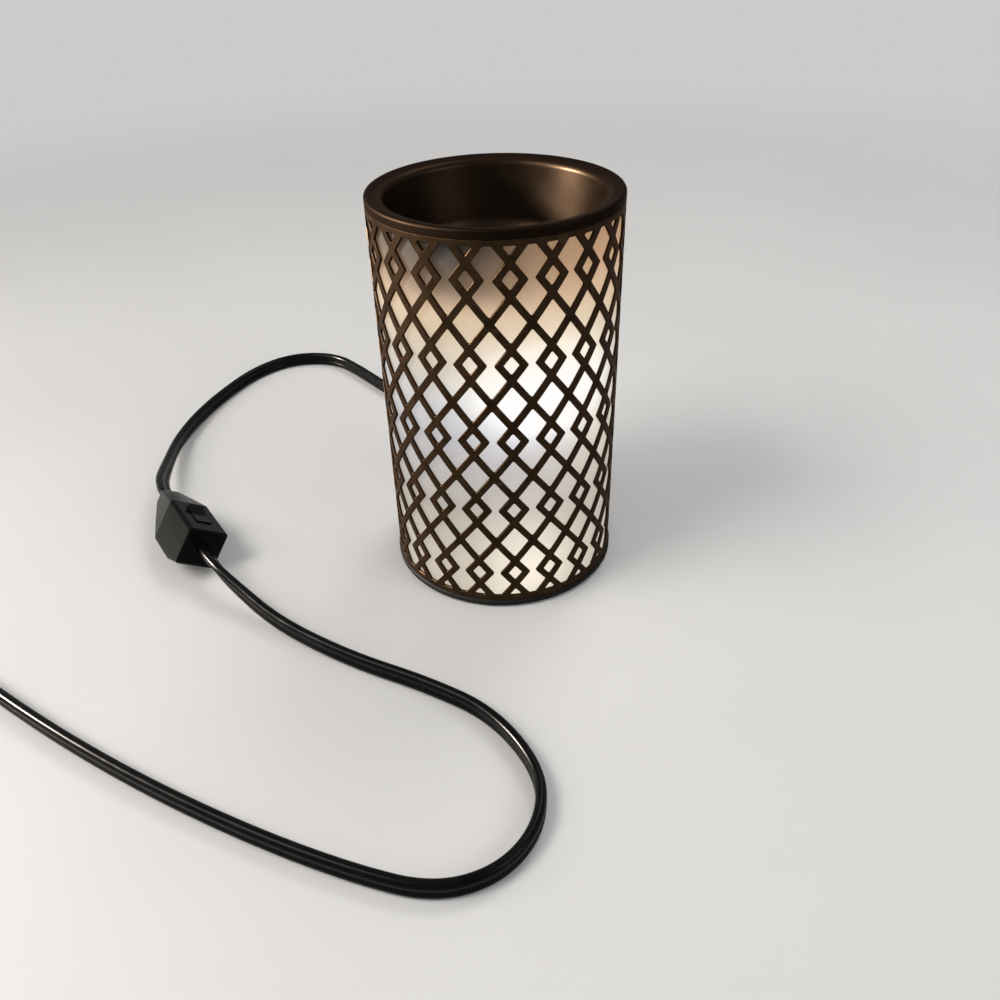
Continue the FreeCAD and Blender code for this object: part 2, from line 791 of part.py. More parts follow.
def strain_relief():
    inner = outlet_reach - outlet_wall
    collar = relief_part(relief_collar, inner - relief_collar[2], relief_collar[2])
    neck = relief_part(relief_neck, inner, outlet_wall)
    flange = relief_part(relief_flange, outlet_reach, relief_flange[2])
    taper = Part.makeLoft([relief_outline(relief_root, outlet_reach + relief_flange[2]),
                           relief_outline(relief_tip, relief_end)], True, True)
    return collar.fuse([neck, flange, taper])


def relief_outline(size, station):
    """A section of the strain relief, rounded nearly to half its height."""
    return section(size[0], size[1], relief_roundness * size[1] / 2, station, 0, relief_height)


def relief_part(size, station, length):
    return bar(relief_outline(size, station), length)


def inner_lead(name, side):
    """One conductor, from the strain relief up through the deck to its terminal screw."""
    x = side * lead_spacing / 2
    rise = socket_offset + x
    start = outlet_reach - outlet_wall - relief_collar[2]
    away = terminal_way(side * terminal_angle)
    end = terminal_seat(side * terminal_angle) + away * terminal_head_height
    points = [V(x, start, relief_height), V(x, tunnel_start, relief_height),
              V((x + rise) / 2, (tunnel_start + lead_hole_station) / 2, relief_height + lead_lift),
              V(rise, lead_hole_station, deck_top - lead_below),
              V(rise, lead_hole_station, deck_top + lead_above), end + away * lead_tail, end]
    return tube(name, points, lead_tube)


def cord_lamp_to_switch():
    points = [V(0, relief_end, relief_height), V(0, relief_end + relief_straight, relief_height)]
    points += [V(x, y, z) for x, y, z in ARCH]
    points.append(switch_point(0, switch_length + switch_straight, 0))
    points.append(switch_point(0, switch_length - switch_grip, 0))
    return tube("cord_lamp_to_switch", points, cord_tube)


def cord_switch_to_coil():
    points = [switch_point(0, switch_grip, 0), switch_point(0, -switch_straight, 0)]
    points += [V(x, y, z) for x, y, z in BEND]
    return tube("cord_switch_to_coil", points, cord_tube)


def coil_start():
    """Where the coil takes over from the running cord, and the way the cord points there."""
    end = V(*BEND[-1])
    heading = (end - V(*BEND[-2])).normalize()
    return end, heading


def coil_middle():
    end, heading = coil_start()
    left = V(-heading.y, heading.x, 0)
    return end + heading * cord_tube + left * coil_radius


def coil_station(quarter):
    """The middle line and its direction after so many quarter turns: in on the table, up, and out on top."""
    heading = coil_start()[1]
    middle = 4 * coil_turns_down + 1
    radius = coil_radius - coil_step * (middle - abs(quarter - middle)) / 2
    height = cord_tube / 2
    slope = 0
    climb = 0
    if quarter == middle:
        height += coil_layer / 2
        climb = 1.5 * coil_layer / math.pi
    elif quarter > middle:
        height += coil_layer
    if quarter not in (0, middle, 2 * middle):
        slope = math.copysign(coil_step / math.pi, quarter - middle)
    angle = math.atan2(heading.y, heading.x) - math.pi / 2 + quarter * math.pi / 2
    out = V(math.cos(angle), math.sin(angle), 0)
    along = V(-out.y, out.x, 0)
    place = coil_middle() + out * radius
    place.z = height
    return place, (out * slope + along * radius + UP * climb).normalize()


def biarc(start, start_way, end, end_way):
    """Two arcs that leave one point and reach another in the given directions and share a tangent."""
    gap = end - start
    both = start_way + end_way
    a = 2 * (1 - start_way.dot(end_way))
    b = 2 * gap.dot(both)
    c = -gap.dot(gap)
    reach = (-b + math.sqrt(b * b - 4 * a * c)) / (2 * a)
    first = start + start_way * reach
    second = end - end_way * reach
    meet = (first + second) / 2
    return [bow(start, first, meet), bow(meet, second, end)]


def bow(start, corner, end):
    """The arc that is tangent to the two lines from its corner point."""
    before = (corner - start).normalize()
    after = (end - corner).normalize()
    half = before.getAngle(after) / 2
    radius = (corner - start).Length / math.tan(half)
    inward = (after - before).normalize()
    return Part.Arc(start, corner + inward * (radius / math.cos(half) - radius), end).toShape()


def cord_coil():
    stations = [coil_station(quarter) for quarter in range(coil_quarters + 1)]
    end, heading = coil_start()
    edges = [Part.makeLine(end, stations[0][0])]
    for (start, start_way), (stop, stop_way) in zip(stations, stations[1:]):
        edges += biarc(start, start_way, stop, stop_way)
    edges.append(Part.makeLine(stations[-1][0], plug_start))
    path = Part.Wire(edges)
    circle = Part.Wire(Part.Circle(end, heading, cord_tube / 2).toShape())
    coil = path.makePipeShell([circle], True, False)
    report("cord_coil", coil, path, cord_tube)
    least_gap(path)
    return coil


def least_gap(path):
    """Measures how near the coil comes to itself, between points more than a quarter turn apart."""
    points = path.discretize(Distance=1.0)
    apart = int(coil_radius)
    least = min(points[i].distanceToPoint(points[j]) for i in range(len(points))
                for j in range(i + apart, len(points)))
    print("cord_coil least gap to itself", round(least - cord_tube, 2))


# Inline switch, modelled lying square and then laid on one edge

def switch_placement():
    front = V(switch_front[0], switch_front[1], switch_middle)
    to_side = FreeCAD.Rotation(V(0, 1, 0), switch_roll)
    about = FreeCAD.Rotation(UP, switch_azimuth - 90)
    return FreeCAD.Placement(front, about.multiply(to_side))


def switch_point(x, y, z):
    return switch_placement().multVec(V(x, y, z))


def laid(shape):
    placed = shape.copy()
    placed.Placement = switch_placement().multiply(placed.Placement)
    return placed


def switch_section(station, width, height, belly, inset):
    """A rounded section across the switch: its height is even about the axis, and its belly hangs below."""
    rounding = switch_hollow_rounding if inset else switch_rounding
    return section(width - 2 * inset, height + belly - 2 * inset, rounding, station, 0, -belly / 2)


def switch_form(inset=0.0):
    """The outside of the switch, or its hollow when inset by the casing's wall."""
    shoulder_width = switch_neck_width + shoulder_share * (switch_width - switch_neck_width)
    shoulder_height = switch_neck_height + shoulder_share * (switch_height - switch_neck_height)
    sections = [(inset, switch_width, switch_height, 0),
                (belly_start, switch_width, switch_height, switch_belly),
                (switch_box_length, switch_width, switch_height, switch_belly),
                (shoulder_station, shoulder_width, shoulder_height, shoulder_share * switch_belly)]
    if not inset:
        sections.append((switch_length, switch_neck_width, switch_neck_height, 0))
    return Part.makeLoft([switch_section(*sizes, inset) for sizes in sections], True, True)


def switch_casing():
    """The whole casing, hollow up to its shoulder, with a round hole for the cord at each end."""
    outside = switch_form()
    rim = [e for e in outside.Edges if e.BoundBox.YMax < 0.01]
    outside = outside.makeChamfer(switch_rounding / 2, rim)
    cord = cord_tube / 2 + cord_hole_gap
    front_hole = Part.makeCylinder(cord, switch_shell + 2 * cut_over, V(0, -cut_over, 0), V(0, 1, 0))
    tail_start = shoulder_station - cut_over
    tail_length = switch_length + cut_over - tail_start
    tail_hole = Part.makeCylinder(cord, tail_length, V(0, tail_start, 0), V(0, 1, 0))
    return outside.cut([switch_form(switch_shell), front_hole, tail_hole])


def half_space(side):
    """A block that holds all of the switch above (1) or below (-1) the joint of its casing."""
    low = 0 if side > 0 else -switch_height
    return Part.makeBox(2 * switch_width, 2 * switch_length, switch_height,
                        V(-switch_width, -switch_length / 2, low))


def switch_boss(side):
    """The post round the screw, from the joint of the casing into its wall above or below."""
    if side > 0:
        return disc(switch_screw_boss, switch_height / 2 - switch_shell / 2, 0, 0, switch_screw_station)
    reach = switch_underside - switch_shell / 2
    return disc(switch_screw_boss, reach, -reach, 0, switch_screw_station)


def switch_screw_shape(spare=0.0):
    head = Part.makeCone(screw_head_radius + spare, screw_radius + spare, screw_head_height,
                         V(0, switch_screw_station, -switch_underside))
    length = switch_underside + switch_screw_hold
    shank = disc(screw_radius + spare, length, -switch_underside, 0, switch_screw_station)
    return head.fuse(shank)


def switch_lower_shell():
    shell = switch_casing().common(half_space(-1)).fuse(switch_boss(-1))
    return laid(shell.cut(switch_screw_shape(screw_gap)))


def switch_upper_shell():
    shell = switch_casing().common(half_space(1)).fuse(switch_boss(1))
    top = switch_height / 2
    width = rocker_width + 2 * rocker_gap
    length = rocker_length + 2 * rocker_gap
    opening = Part.makeBox(width, length, switch_shell + 2 * cut_over,
                           V(-width / 2, rocker_station - length / 2, top - switch_shell - cut_over))
    lug_drop = rocker_pin_depth + rocker_pin_radius + lug_wall
    lug_height = lug_drop - switch_shell / 2
    lug_start = rocker_station - lug_width / 2
    lugs = [Part.makeBox(ear_thickness, lug_width, lug_height, V(x, lug_start, top - lug_drop))
            for x in (width / 2, -width / 2 - ear_thickness)]
    pin_span = width + 2 * ear_thickness
    pin_hole = Part.makeCylinder(rocker_pin_radius + pin_clearance, pin_span,
                                 V(-pin_span / 2, rocker_station, top - rocker_pin_depth), V(1, 0, 0))
    shell = shell.fuse(lugs).cut([opening, pin_hole, switch_screw_shape(screw_gap)])
    return laid(shell)


def switch_rocker():
    top = switch_height / 2
    end = rocker_length / 2
    foot = end * rocker_foot_share
    outline = [(-end, rocker_reach), (0, rocker_reach / 4), (end, rocker_reach), (end, -switch_shell),
               (foot, -rocker_depth), (-foot, -rocker_depth), (-end, -switch_shell)]
    corners = [V(-rocker_width / 2, rocker_station + y, top + z) for y, z in outline]
    body = Part.Face(Part.makePolygon(corners + [corners[0]])).extrude(V(rocker_width, 0, 0))
    reach = rocker_width / 2 + rocker_gap + ear_thickness
    pin_height = top - rocker_pin_depth
    pin = Part.makeCylinder(rocker_pin_radius, 2 * reach, V(-reach, rocker_station, pin_height), V(1, 0, 0))
    rocker = body.fuse(pin)
    rocker.rotate(V(0, rocker_station, pin_height), V(1, 0, 0), rocker_tilt)
    return laid(rocker)


def switch_contacts():
    """Two brass strips, bent up from the floor of the casing under the rocker."""
    floor = switch_shell - switch_underside
    strips = []
    for side in (-1, 1):
        station = rocker_station + side * contact_spacing / 2 - contact_foot / 2
        base = Part.makeBox(contact_width, contact_foot, contact_sheet, V(-contact_width, station, floor))
        post = Part.makeBox(contact_width, contact_sheet, contact_post, V(-contact_width, station, floor))
        strips.append(laid(base.fuse(post)))
    return Part.Compound(strips)


def switch_screw():
    return laid(switch_screw_shape())


# Plug

def plugged(shape):
    """Moves a shape from the plug's own place, tail at the origin and blades along +Y, to where it lies."""
    placed = shape.copy()
    way = coil_station(coil_quarters)[1]
    turn = FreeCAD.Rotation(UP, math.degrees(math.atan2(way.y, way.x)) - 90)
    placed.Placement = FreeCAD.Placement(plug_start, turn).multiply(placed.Placement)
    return placed


def blade(side):
    start = plug_tail + plug_length - blade_root
    tip = start + blade_root + blade_length
    x = side * blade_spacing / 2 - blade_thickness / 2
    low = -blade_width / 2
    chamfer = blade_width / 5
    outline = [(start, low), (tip - chamfer, low), (tip, low + chamfer), (tip, -low - chamfer),
               (tip - chamfer, -low), (start, -low)]
    corners = [V(x, y, z) for y, z in outline]
    plate = Part.Face(Part.makePolygon(corners + [corners[0]])).extrude(V(blade_thickness, 0, 0))
    hole = Part.makeCylinder(blade_hole_radius, blade_thickness + 2 * cut_over,
                             V(x - cut_over, tip - blade_hole_station, 0), V(1, 0, 0))
    return plate.cut(hole)


def plug_body():
    height = 2 * plug_axis_height
    body = bar(section(plug_width, height, plug_rounding, plug_tail), plug_length)
    face = [e for e in body.Edges if e.BoundBox.YMin > plug_tail + plug_length - 0.01]
    body = body.makeFillet(plug_rounding / 2, face)
    tail = Part.makeLoft([section(plug_tail_width, plug_tail_width, plug_rounding, 0),
                          section(plug_width * 0.8, height * 0.9, plug_rounding, plug_tail)], True, True)
    grooves = []
    for side in (1, -1):
        for i in range(plug_groove_count):
            y = plug_tail + plug_length * (i + 1) / (plug_groove_count + 2)
            low = V(side * plug_width / 2, y, -height / 2 - cut_over)
            grooves.append(Part.makeCylinder(plug_groove_radius, height + 2 * cut_over, low, UP))
    body = body.fuse(tail).cut(grooves + [blade(1), blade(-1)])
    return plugged(body)


def plug_blades():
    return Part.Compound([plugged(blade(1)), plugged(blade(-1))])


last_place, last_way = coil_station(coil_quarters)
plug_start = last_place + last_way * plug_lead

NODES = {
    "warming_dish": warming_dish,
    "lattice_sleeve": lattice_sleeve,
    "frosted_diffuser": frosted_diffuser,
    "base_housing": base_housing,
    "bottom_cover": bottom_cover,
    "cover_screws": cover_screws,
    "rubber_feet": rubber_feet,
    "deck_reflector": deck_reflector,
    "socket_bracket": socket_bracket,
    "bracket_screws": bracket_screws,
    "socket_body": socket_body,
    "socket_screw_shell": socket_screw_shell,
    "socket_centre_contact": socket_centre_contact,
    "socket_rivet": socket_rivet,
    "terminal_screws": terminal_screws,
    "bulb_glass": bulb_glass,
    "bulb_cap": bulb_cap,
    "bulb_insulator": bulb_insulator,
    "bulb_centre_contact": bulb_centre_contact,
    "bulb_stem": bulb_stem,
    "bulb_filament": bulb_filament,
    "strain_relief": strain_relief,
    "cord_lamp_to_switch": cord_lamp_to_switch,
    "cord_switch_to_coil": cord_switch_to_coil,
    "cord_coil": cord_coil,
    "switch_lower_shell": switch_lower_shell,
    "switch_upper_shell": switch_upper_shell,
    "switch_rocker": switch_rocker,
    "switch_contacts": switch_contacts,
    "switch_screw": switch_screw,
    "plug_body": plug_body,
    "plug_blades": plug_blades,
}

os.makedirs("parts", exist_ok=True)
for node, make in NODES.items():
    save(node, make())
save("live_lead", inner_lead("live_lead", 1))
save("neutral_lead", inner_lead("neutral_lead", -1))
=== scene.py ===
import math

import bpy
from mathutils import Matrix, Vector
from mathutils.geometry import delaunay_2d_cdt


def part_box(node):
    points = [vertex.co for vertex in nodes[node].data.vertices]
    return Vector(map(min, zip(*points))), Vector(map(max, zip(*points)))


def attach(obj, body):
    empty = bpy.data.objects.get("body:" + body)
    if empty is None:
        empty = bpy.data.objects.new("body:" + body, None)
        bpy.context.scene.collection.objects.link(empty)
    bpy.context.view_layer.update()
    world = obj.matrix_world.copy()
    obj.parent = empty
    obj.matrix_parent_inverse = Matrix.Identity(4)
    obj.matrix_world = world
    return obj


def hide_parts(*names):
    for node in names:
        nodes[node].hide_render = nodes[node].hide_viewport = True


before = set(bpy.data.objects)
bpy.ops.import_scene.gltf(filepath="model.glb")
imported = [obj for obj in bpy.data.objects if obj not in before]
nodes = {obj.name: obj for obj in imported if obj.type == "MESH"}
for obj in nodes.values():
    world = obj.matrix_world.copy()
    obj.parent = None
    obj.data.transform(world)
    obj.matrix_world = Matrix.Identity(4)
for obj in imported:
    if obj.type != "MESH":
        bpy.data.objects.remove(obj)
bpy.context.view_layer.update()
UP = Vector((0, 0, 1))
TAU = 2 * math.pi
MM = 0.001

# Photograph, with its camera fitted to the lattice's cells and to both sides of the cylinder
photo_width = 1000            # in pixels, as the focal length
focal_pixels = 897.8
camera_place = Vector((0.0, -0.3338, 0.2564))
camera_yaw = math.radians(-0.247)
camera_pitch = math.radians(-35.131)
camera_roll = math.radians(-1.668)
sensor_width = 36.0           # in millimetres, as a camera's lens
near_clip = 0.01


def camera():
    """A camera at the photograph's viewing angle, with its focal length and roll."""
    forward = Vector((math.sin(camera_yaw) * math.cos(camera_pitch),
                      math.cos(camera_yaw) * math.cos(camera_pitch), math.sin(camera_pitch)))
    right = Vector((math.cos(camera_yaw), -math.sin(camera_yaw), 0))
    over = right.cross(forward)
    rolled_right = right * math.cos(camera_roll) + over * math.sin(camera_roll)
    rolled_over = over * math.cos(camera_roll) - right * math.sin(camera_roll)
    data = bpy.data.cameras.new("camera")
    data.sensor_width = sensor_width
    data.lens = sensor_width * focal_pixels / photo_width
    data.clip_start = near_clip
    view = bpy.data.objects.new("camera", data)
    view.matrix_world = Matrix((
        (rolled_right.x, rolled_over.x, -forward.x, camera_place.x),
        (rolled_right.y, rolled_over.y, -forward.y, camera_place.y),
        (rolled_right.z, rolled_over.z, -forward.z, camera_place.z),
        (0, 0, 0, 1)))
    bpy.context.scene.collection.objects.link(view)
    bpy.context.scene.camera = view


# Materials

class Nodes:
    """A material under construction, with short calls for the nodes that it needs."""

    def __init__(self, name):
        self.material = bpy.data.materials.new(name)
        self.material.use_nodes = True
        self.tree = self.material.node_tree
        self.shader = self.tree.nodes["Principled BSDF"]
        self.place = self.tree.nodes.new("ShaderNodeTexCoord").outputs["Object"]

    def link(self, start, end):
        self.tree.links.new(start, end)

    def node(self, kind, **settings):
        made = self.tree.nodes.new("ShaderNode" + kind)
        for key, value in settings.items():
            setattr(made, key, value)
        return made

    def scaled(self, scale):
        """Object coordinates, stretched along each axis."""
        mapping = self.node("Mapping")
        mapping.inputs["Scale"].default_value = scale
        self.link(self.place, mapping.inputs["Vector"])
        return mapping.outputs["Vector"]

    def noise(self, scale, detail=4.0, place=None):
        noise = self.node("TexNoise")
        noise.inputs["Scale"].default_value = scale
        noise.inputs["Detail"].default_value = detail
        self.link(place or self.place, noise.inputs["Vector"])
        return noise.outputs["Fac"]

    def ramp(self, value, stops):
        """Colours at positions, or plain greys where a stop holds one number."""
        ramp = self.node("ValToRGB")
        elements = ramp.color_ramp.elements
        while len(elements) < len(stops):
            elements.new(0.5)
        for element, (position, colour) in zip(elements, stops):
            element.position = position
            element.color = (*colour, 1) if hasattr(colour, "__len__") else (colour, colour, colour, 1)
        self.link(value, ramp.inputs["Fac"])
        return ramp.outputs["Color"]

    def math(self, operation, *values, clamp=False):
        """A Math node, with a number or a socket for each of its values."""
        made = self.node("Math", operation=operation, use_clamp=clamp)
        for socket, value in zip(made.inputs, values):
            if isinstance(value, (int, float)):
                socket.default_value = value
            else:
                self.link(value, socket)
        return made.outputs[0]

    def mix(self, factor, first, second):
        """The first colour where the factor is 0 and the second where it is 1."""
        made = self.node("Mix", data_type="RGBA")
        for socket, value in zip((made.inputs[0], made.inputs[6], made.inputs[7]), (factor, first, second)):
            if hasattr(value, "is_linked"):
                self.link(value, socket)
            elif hasattr(value, "__len__"):
                socket.default_value = (*value, 1)
            else:
                socket.default_value = value
        return made.outputs[2]

    def bump(self, height, strength, distance):
        bump = self.node("Bump")
        bump.inputs["Strength"].default_value = strength
        bump.inputs["Distance"].default_value = distance
        self.link(height, bump.inputs["Height"])
        self.link(bump.outputs["Normal"], self.shader.inputs["Normal"])

    def set(self, **values):
        """Values that are the same all over the surface."""
        names = {"metallic": "Metallic", "ior": "IOR", "specular": "Specular IOR Level",
                 "edge_tint": "Specular Tint", "emission": "Emission Strength"}
        for key, value in values.items():
            self.shader.inputs[names[key]].default_value = (*value, 1) if key == "edge_tint" else value

    def colour(self, socket):
        self.link(socket, self.shader.inputs["Base Color"])

    def roughness(self, socket):
        self.link(socket, self.shader.inputs["Roughness"])

    def emission(self, socket):
        self.link(socket, self.shader.inputs["Emission Color"])

    def step(self, value, start, end):
        """Eases from 0 to 1 while a value goes from start to end."""
        made = self.node("MapRange", interpolation_type="SMOOTHSTEP")
        made.inputs["From Min"].default_value = start
        made.inputs["From Max"].default_value = end
        self.link(value, made.inputs["Value"])
        return made.outputs[0]

    def length(self, vector):
        made = self.node("VectorMath", operation="LENGTH")
        self.link(vector, made.inputs[0])
        return made.outputs["Value"]


def mottled(name, dark, light, grain, smooth, rough, depth, metallic=0.0, specular=0.5, stretch=(1, 1, 1)):
    """A surface whose colour, roughness and fine relief vary with a noise of the given grain."""
    m = Nodes(name)
    place = m.scaled(stretch)
    fine = m.noise(grain, 6.0, place)
    broad = m.noise(grain / 12, 3.0, place)
    both = m.math("MULTIPLY_ADD", broad, 0.6, m.math("MULTIPLY", fine, 0.4))
    m.colour(m.ramp(both, [(0.35, dark), (0.65, light)]))
    m.roughness(m.ramp(m.noise(grain / 5, 5.0, place), [(0.3, smooth), (0.7, rough)]))
    m.bump(fine, 0.35, depth)
    m.set(metallic=metallic, specular=specular)
    return m.material


def bronze_paint():
    """Dark bronze powder coat: a fine orange peel, and browner where it is thin on the edges."""
    m = Nodes("bronze_paint")
    peel = m.noise(2600, 3.0)
    broad = m.noise(60, 4.0)
    base = m.ramp(broad, [(0.3, (0.0088, 0.0042, 0.0015)), (0.55, (0.0145, 0.0071, 0.0027)),
                          (0.75, (0.0235, 0.0118, 0.0047))])
    edge = m.node("NewGeometry").outputs["Pointiness"]
    worn = m.math("MULTIPLY", m.ramp(edge, [(0.52, 0.0), (0.62, 1.0)]), m.noise(300, 5.0), clamp=True)
    m.colour(m.mix(worn, base, (0.07, 0.043, 0.024)))
    m.roughness(m.ramp(m.noise(240, 5.0), [(0.3, 0.4), (0.7, 0.52)]))
    m.bump(peel, 0.22, 0.00008)
    m.set(metallic=0.6, specular=0.11, edge_tint=(0.5, 0.4, 0.3))
    return m.material


def dish_enamel():
    """Satin brown-black enamel on the dish, with painted shade that darkens its rim, which is also rougher,
    and the faintest turning marks.
    """
    m = Nodes("dish_enamel")
    turning = m.noise(700, 2.0, m.scaled((0.06, 0.06, 2.5)))
    radius = m.length(m.scaled((1, 1, 0)))
    # Where the rim starts: its colour gets painted shade, and its roughness goes up.
    rim = m.step(radius, dish_radius - shoulder_width, dish_radius - shoulder_width / 2)
    bowl = m.ramp(m.noise(38, 3.0), [(0.3, (0.0172, 0.0107, 0.0066)), (0.7, (0.026, 0.0165, 0.0104))])
    m.colour(m.mix(rim, bowl, (0.0085, 0.005, 0.003)))
    satin = m.ramp(m.noise(120, 4.0), [(0.25, 0.34), (0.75, 0.4)])
    m.roughness(m.math("MULTIPLY_ADD", rim, 0.14, satin))
    m.bump(turning, 0.05, 0.00005)
    m.set(metallic=0.8, ior=1.2, edge_tint=(0.45, 0.38, 0.32))
    return m.material


def cord_pvc():
    """Satin black PVC with faint extrusion lines, handled in places."""
    m = Nodes("cord_pvc")
    m.colour(m.ramp(m.noise(70, 4.0), [(0.3, (0.002, 0.002, 0.0022)), (0.7, (0.0043, 0.0041, 0.0042))]))
    m.roughness(m.ramp(m.noise(190, 5.0), [(0.3, 0.2), (0.7, 0.29)]))
    m.bump(m.noise(1500, 3.0), 0.2, 0.00006)
    m.set(specular=0.06)
    return m.material


# Small mesh tools

def add(name, mesh, material, body, slot, *replaced):
    """A piece of the object that moves with a body, in the place of the nodes that it replaces."""
    piece = bpy.data.objects.new(name, mesh)
    bpy.context.scene.collection.objects.link(piece)
    piece.data.materials.clear()
    piece.data.materials.append(material)
    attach(piece, body)
    if replaced:
        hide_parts(*replaced)
    return piece


def mesh_of(name, points, faces):
    """A mesh with smooth shading."""
    mesh = bpy.data.meshes.new(name)
    mesh.from_pydata([tuple(p) for p in points], [], faces)
    mesh.validate()
    mesh.shade_smooth()
    return mesh


def turn_angle(before, after):
    """The signed turn in radians from one flat direction to the next, positive to the left."""
    return math.atan2(before.x * after.y - before.y * after.x, before.dot(after))


def rounded(points, radii, steps=6):
    """A closed flat outline with its corners turned into arcs of the given radii."""
    line = []
    count = len(points)
    for i, radius in enumerate(radii):
        here = Vector(points[i])
        before = (here - Vector(points[i - 1])).normalized()
        after = (Vector(points[(i + 1) % count]) - here).normalized()
        if radius == 0:
            line.append(here)
            continue
        turn = turn_angle(before, after)
        side = Vector((-before.y, before.x)) * math.copysign(1, turn)
        start = here - before * radius * math.tan(abs(turn) / 2)
        centre = start + side * radius
        arm = start - centre
        for k in range(steps + 1):
            a = turn * k / steps
            line.append(centre + Vector((arm.x * math.cos(a) - arm.y * math.sin(a),
                                         arm.x * math.sin(a) + arm.y * math.cos(a))))
    return line


def lathe(name, line, segments):
    """A closed solid of revolution from a closed outline of (radius, height) points."""
    points = []
    rings = []
    for radius, height in line:
        if radius < 1e-6:
            rings.append([len(points)] * segments)
            points.append((0, 0, height))
            continue
        rings.append(range(len(points), len(points) + segments))
        for k in range(segments):
            a = TAU * k / segments
            points.append((radius * math.cos(a), radius * math.sin(a), height))
    faces = []
    for below, above in zip(rings, rings[1:] + rings[:1]):
        for k in range(segments):
            n = (k + 1) % segments
            corners = list(dict.fromkeys((below[k], below[n], above[n], above[k])))
            if len(corners) > 2:
                faces.append(corners)
    return mesh_of(name, points, faces)


def weighted(piece):
    """Keeps flat faces flat to the eye beside small rounded edges."""
    modifier = piece.modifiers.new("weighted_normals", "WEIGHTED_NORMAL")
    modifier.keep_sharp = True
    return piece


def soften(piece, angle=0.6):
    """Smooth shading with sharp edges where faces meet at more than an angle."""
    piece.data.shade_smooth()
    piece.data.set_sharp_from_angle(angle=angle)
    return piece


# Lattice sleeve, the same cells as the solid's but on a true cylinder and with rounded corners

sleeve_radius = 48 * MM
sleeve_sheet = 1.0 * MM
column_count = 20
row_count = 5
row_pitch = 31.55 * MM
window_margin = 11.8 * MM
tip_reach = 4.65 * MM
strip_width = 2.65 * MM
lower_ring = 2.7 * MM
column_azimuth = math.radians(5.13)
seam_width = 5.5 * MM
cell_rounding = 0.55 * MM
sheet_chamfer = 0.16 * MM
point_spacing = 1.5 * MM      # between the points on an outline's long runs
sleeve_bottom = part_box("lattice_sleeve")[0].z
sleeve_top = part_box("lattice_sleeve")[1].z
first_row = sleeve_bottom + lower_ring + window_margin
column_step = TAU / column_count
column_pitch = column_step * sleeve_radius
strip_slope = row_pitch / (column_pitch + 2 * tip_reach)
strip_half = strip_width / math.sin(math.atan(strip_slope)) / 2
crossing_rise = strip_slope * tip_reach
outlet_half = 7.5 * MM        # half the width of the notch over the cord's outlet
outlet_top = 8.8 * MM
outlet_over = 1.0 * MM        # how far the notch is cut past the sheet's lower edge


def diamond(z, half_width):
    """A diamond on a column's middle line, its sides along the strips."""
    rise = strip_slope * half_width
    return [(0, z - rise), (half_width, z), (0, z + rise), (-half_width, z)]


def edge_triangle(z, way):
    """Half a large diamond against the lower border, where way is -1, or the upper one, where it is 1."""
    tip = crossing_rise + strip_slope * strip_half
    half_width = (window_margin - tip) / strip_slope
    return [(0, z + way * tip), (half_width, z + way * window_margin), (-half_width, z + way * window_margin)]


def waisted_cell(z, cut_below, cut_above):
    """The cell between two columns: two lobes that meet in a waist beside the small diamonds."""
    waist = column_pitch / 2 - tip_reach - strip_half
    lobe = column_pitch / 2 - strip_half

    def lobe_side(way, is_cut):
        if is_cut:
            flat = lobe - (window_margin - crossing_rise) / strip_slope
            return [(lobe, way * crossing_rise), (flat, way * window_margin), (-flat, way * window_margin),
                    (-lobe, way * crossing_rise)]
        return [(lobe, way * crossing_rise), (0, way * (crossing_rise + strip_slope * lobe)),
                (-lobe, way * crossing_rise)]

    above = [(waist, 0)] + lobe_side(1, cut_above) + [(-waist, 0)]
    below = lobe_side(-1, cut_below)
    return [(x, z + dz) for x, dz in above + below[::-1]]


def seam_cells(z):
    """What is left of the waisted cell on either side of the sleeve's upright seam."""
    edge = seam_width / 2
    waist = column_pitch / 2 - tip_reach - strip_half
    lobe = column_pitch / 2 - strip_half
    near = strip_slope * (edge - waist)
    far = crossing_rise + strip_slope * (lobe - edge)
    corners = [(edge, near), (lobe, crossing_rise), (edge, far)]
    return [[(side * x, z + way * rise) for x, rise in corners] for side in (1, -1) for way in (1, -1)]


def shifted(cells, x):
    """The cells moved along the sheet."""
    return [[(u + x, v) for u, v in cell] for cell in cells]


def spaced(line):
    """Adds points on the long runs of a closed outline, so that they can follow the cylinder."""
    dense = []
    for here, there in zip(line, line[1:] + line[:1]):
        steps = max(1, round((there - here).length / point_spacing))
        dense += [here.lerp(there, k / steps) for k in range(steps)]
    return dense


def inside(point, loop):
    """Whether a flat point lies inside a closed outline, by the crossings to its right."""
    x, y = point
    found = False
    for (ax, ay), (bx, by) in zip(loop, loop[1:] + loop[:1]):
        if (ay > y) != (by > y) and x < ax + (bx - ax) * (y - ay) / (by - ay):
            found = not found
    return found


def column_holes(seam_right, seam_left):
    """The outlines of all cells that reach into one column of the sheet."""
    rows = [first_row + i * row_pitch for i in range(row_count)]
    cells = [diamond(z, tip_reach - strip_half) for z in rows]
    cells += [diamond(z + row_pitch / 2, column_pitch / 2 - strip_half) for z in rows[:-1]]
    cells += [edge_triangle(rows[0], -1), edge_triangle(rows[-1], 1)]
    for z in rows:
        between = [waisted_cell(z, z == rows[0], z == rows[-1])]
        for x, is_seam in ((column_pitch / 2, seam_right), (-column_pitch / 2, seam_left)):
            cells += shifted(seam_cells(z) if is_seam else between, x)
    return [spaced(rounded(cell, [cell_rounding] * len(cell))) for cell in cells]


def box_of(loop):
    """An outline's reach, as left, right, low and high."""
    across = [x for x, y in loop]
    up = [y for x, y in loop]
    return min(across), max(across), min(up), max(up)


def in_hole(point, holes):
    """Whether a point lies in one of the holes, each an outline with its box."""
    return any(left <= point.x <= right and low <= point.y <= high and inside(point, loop)
               for loop, (left, right, low, high) in holes)


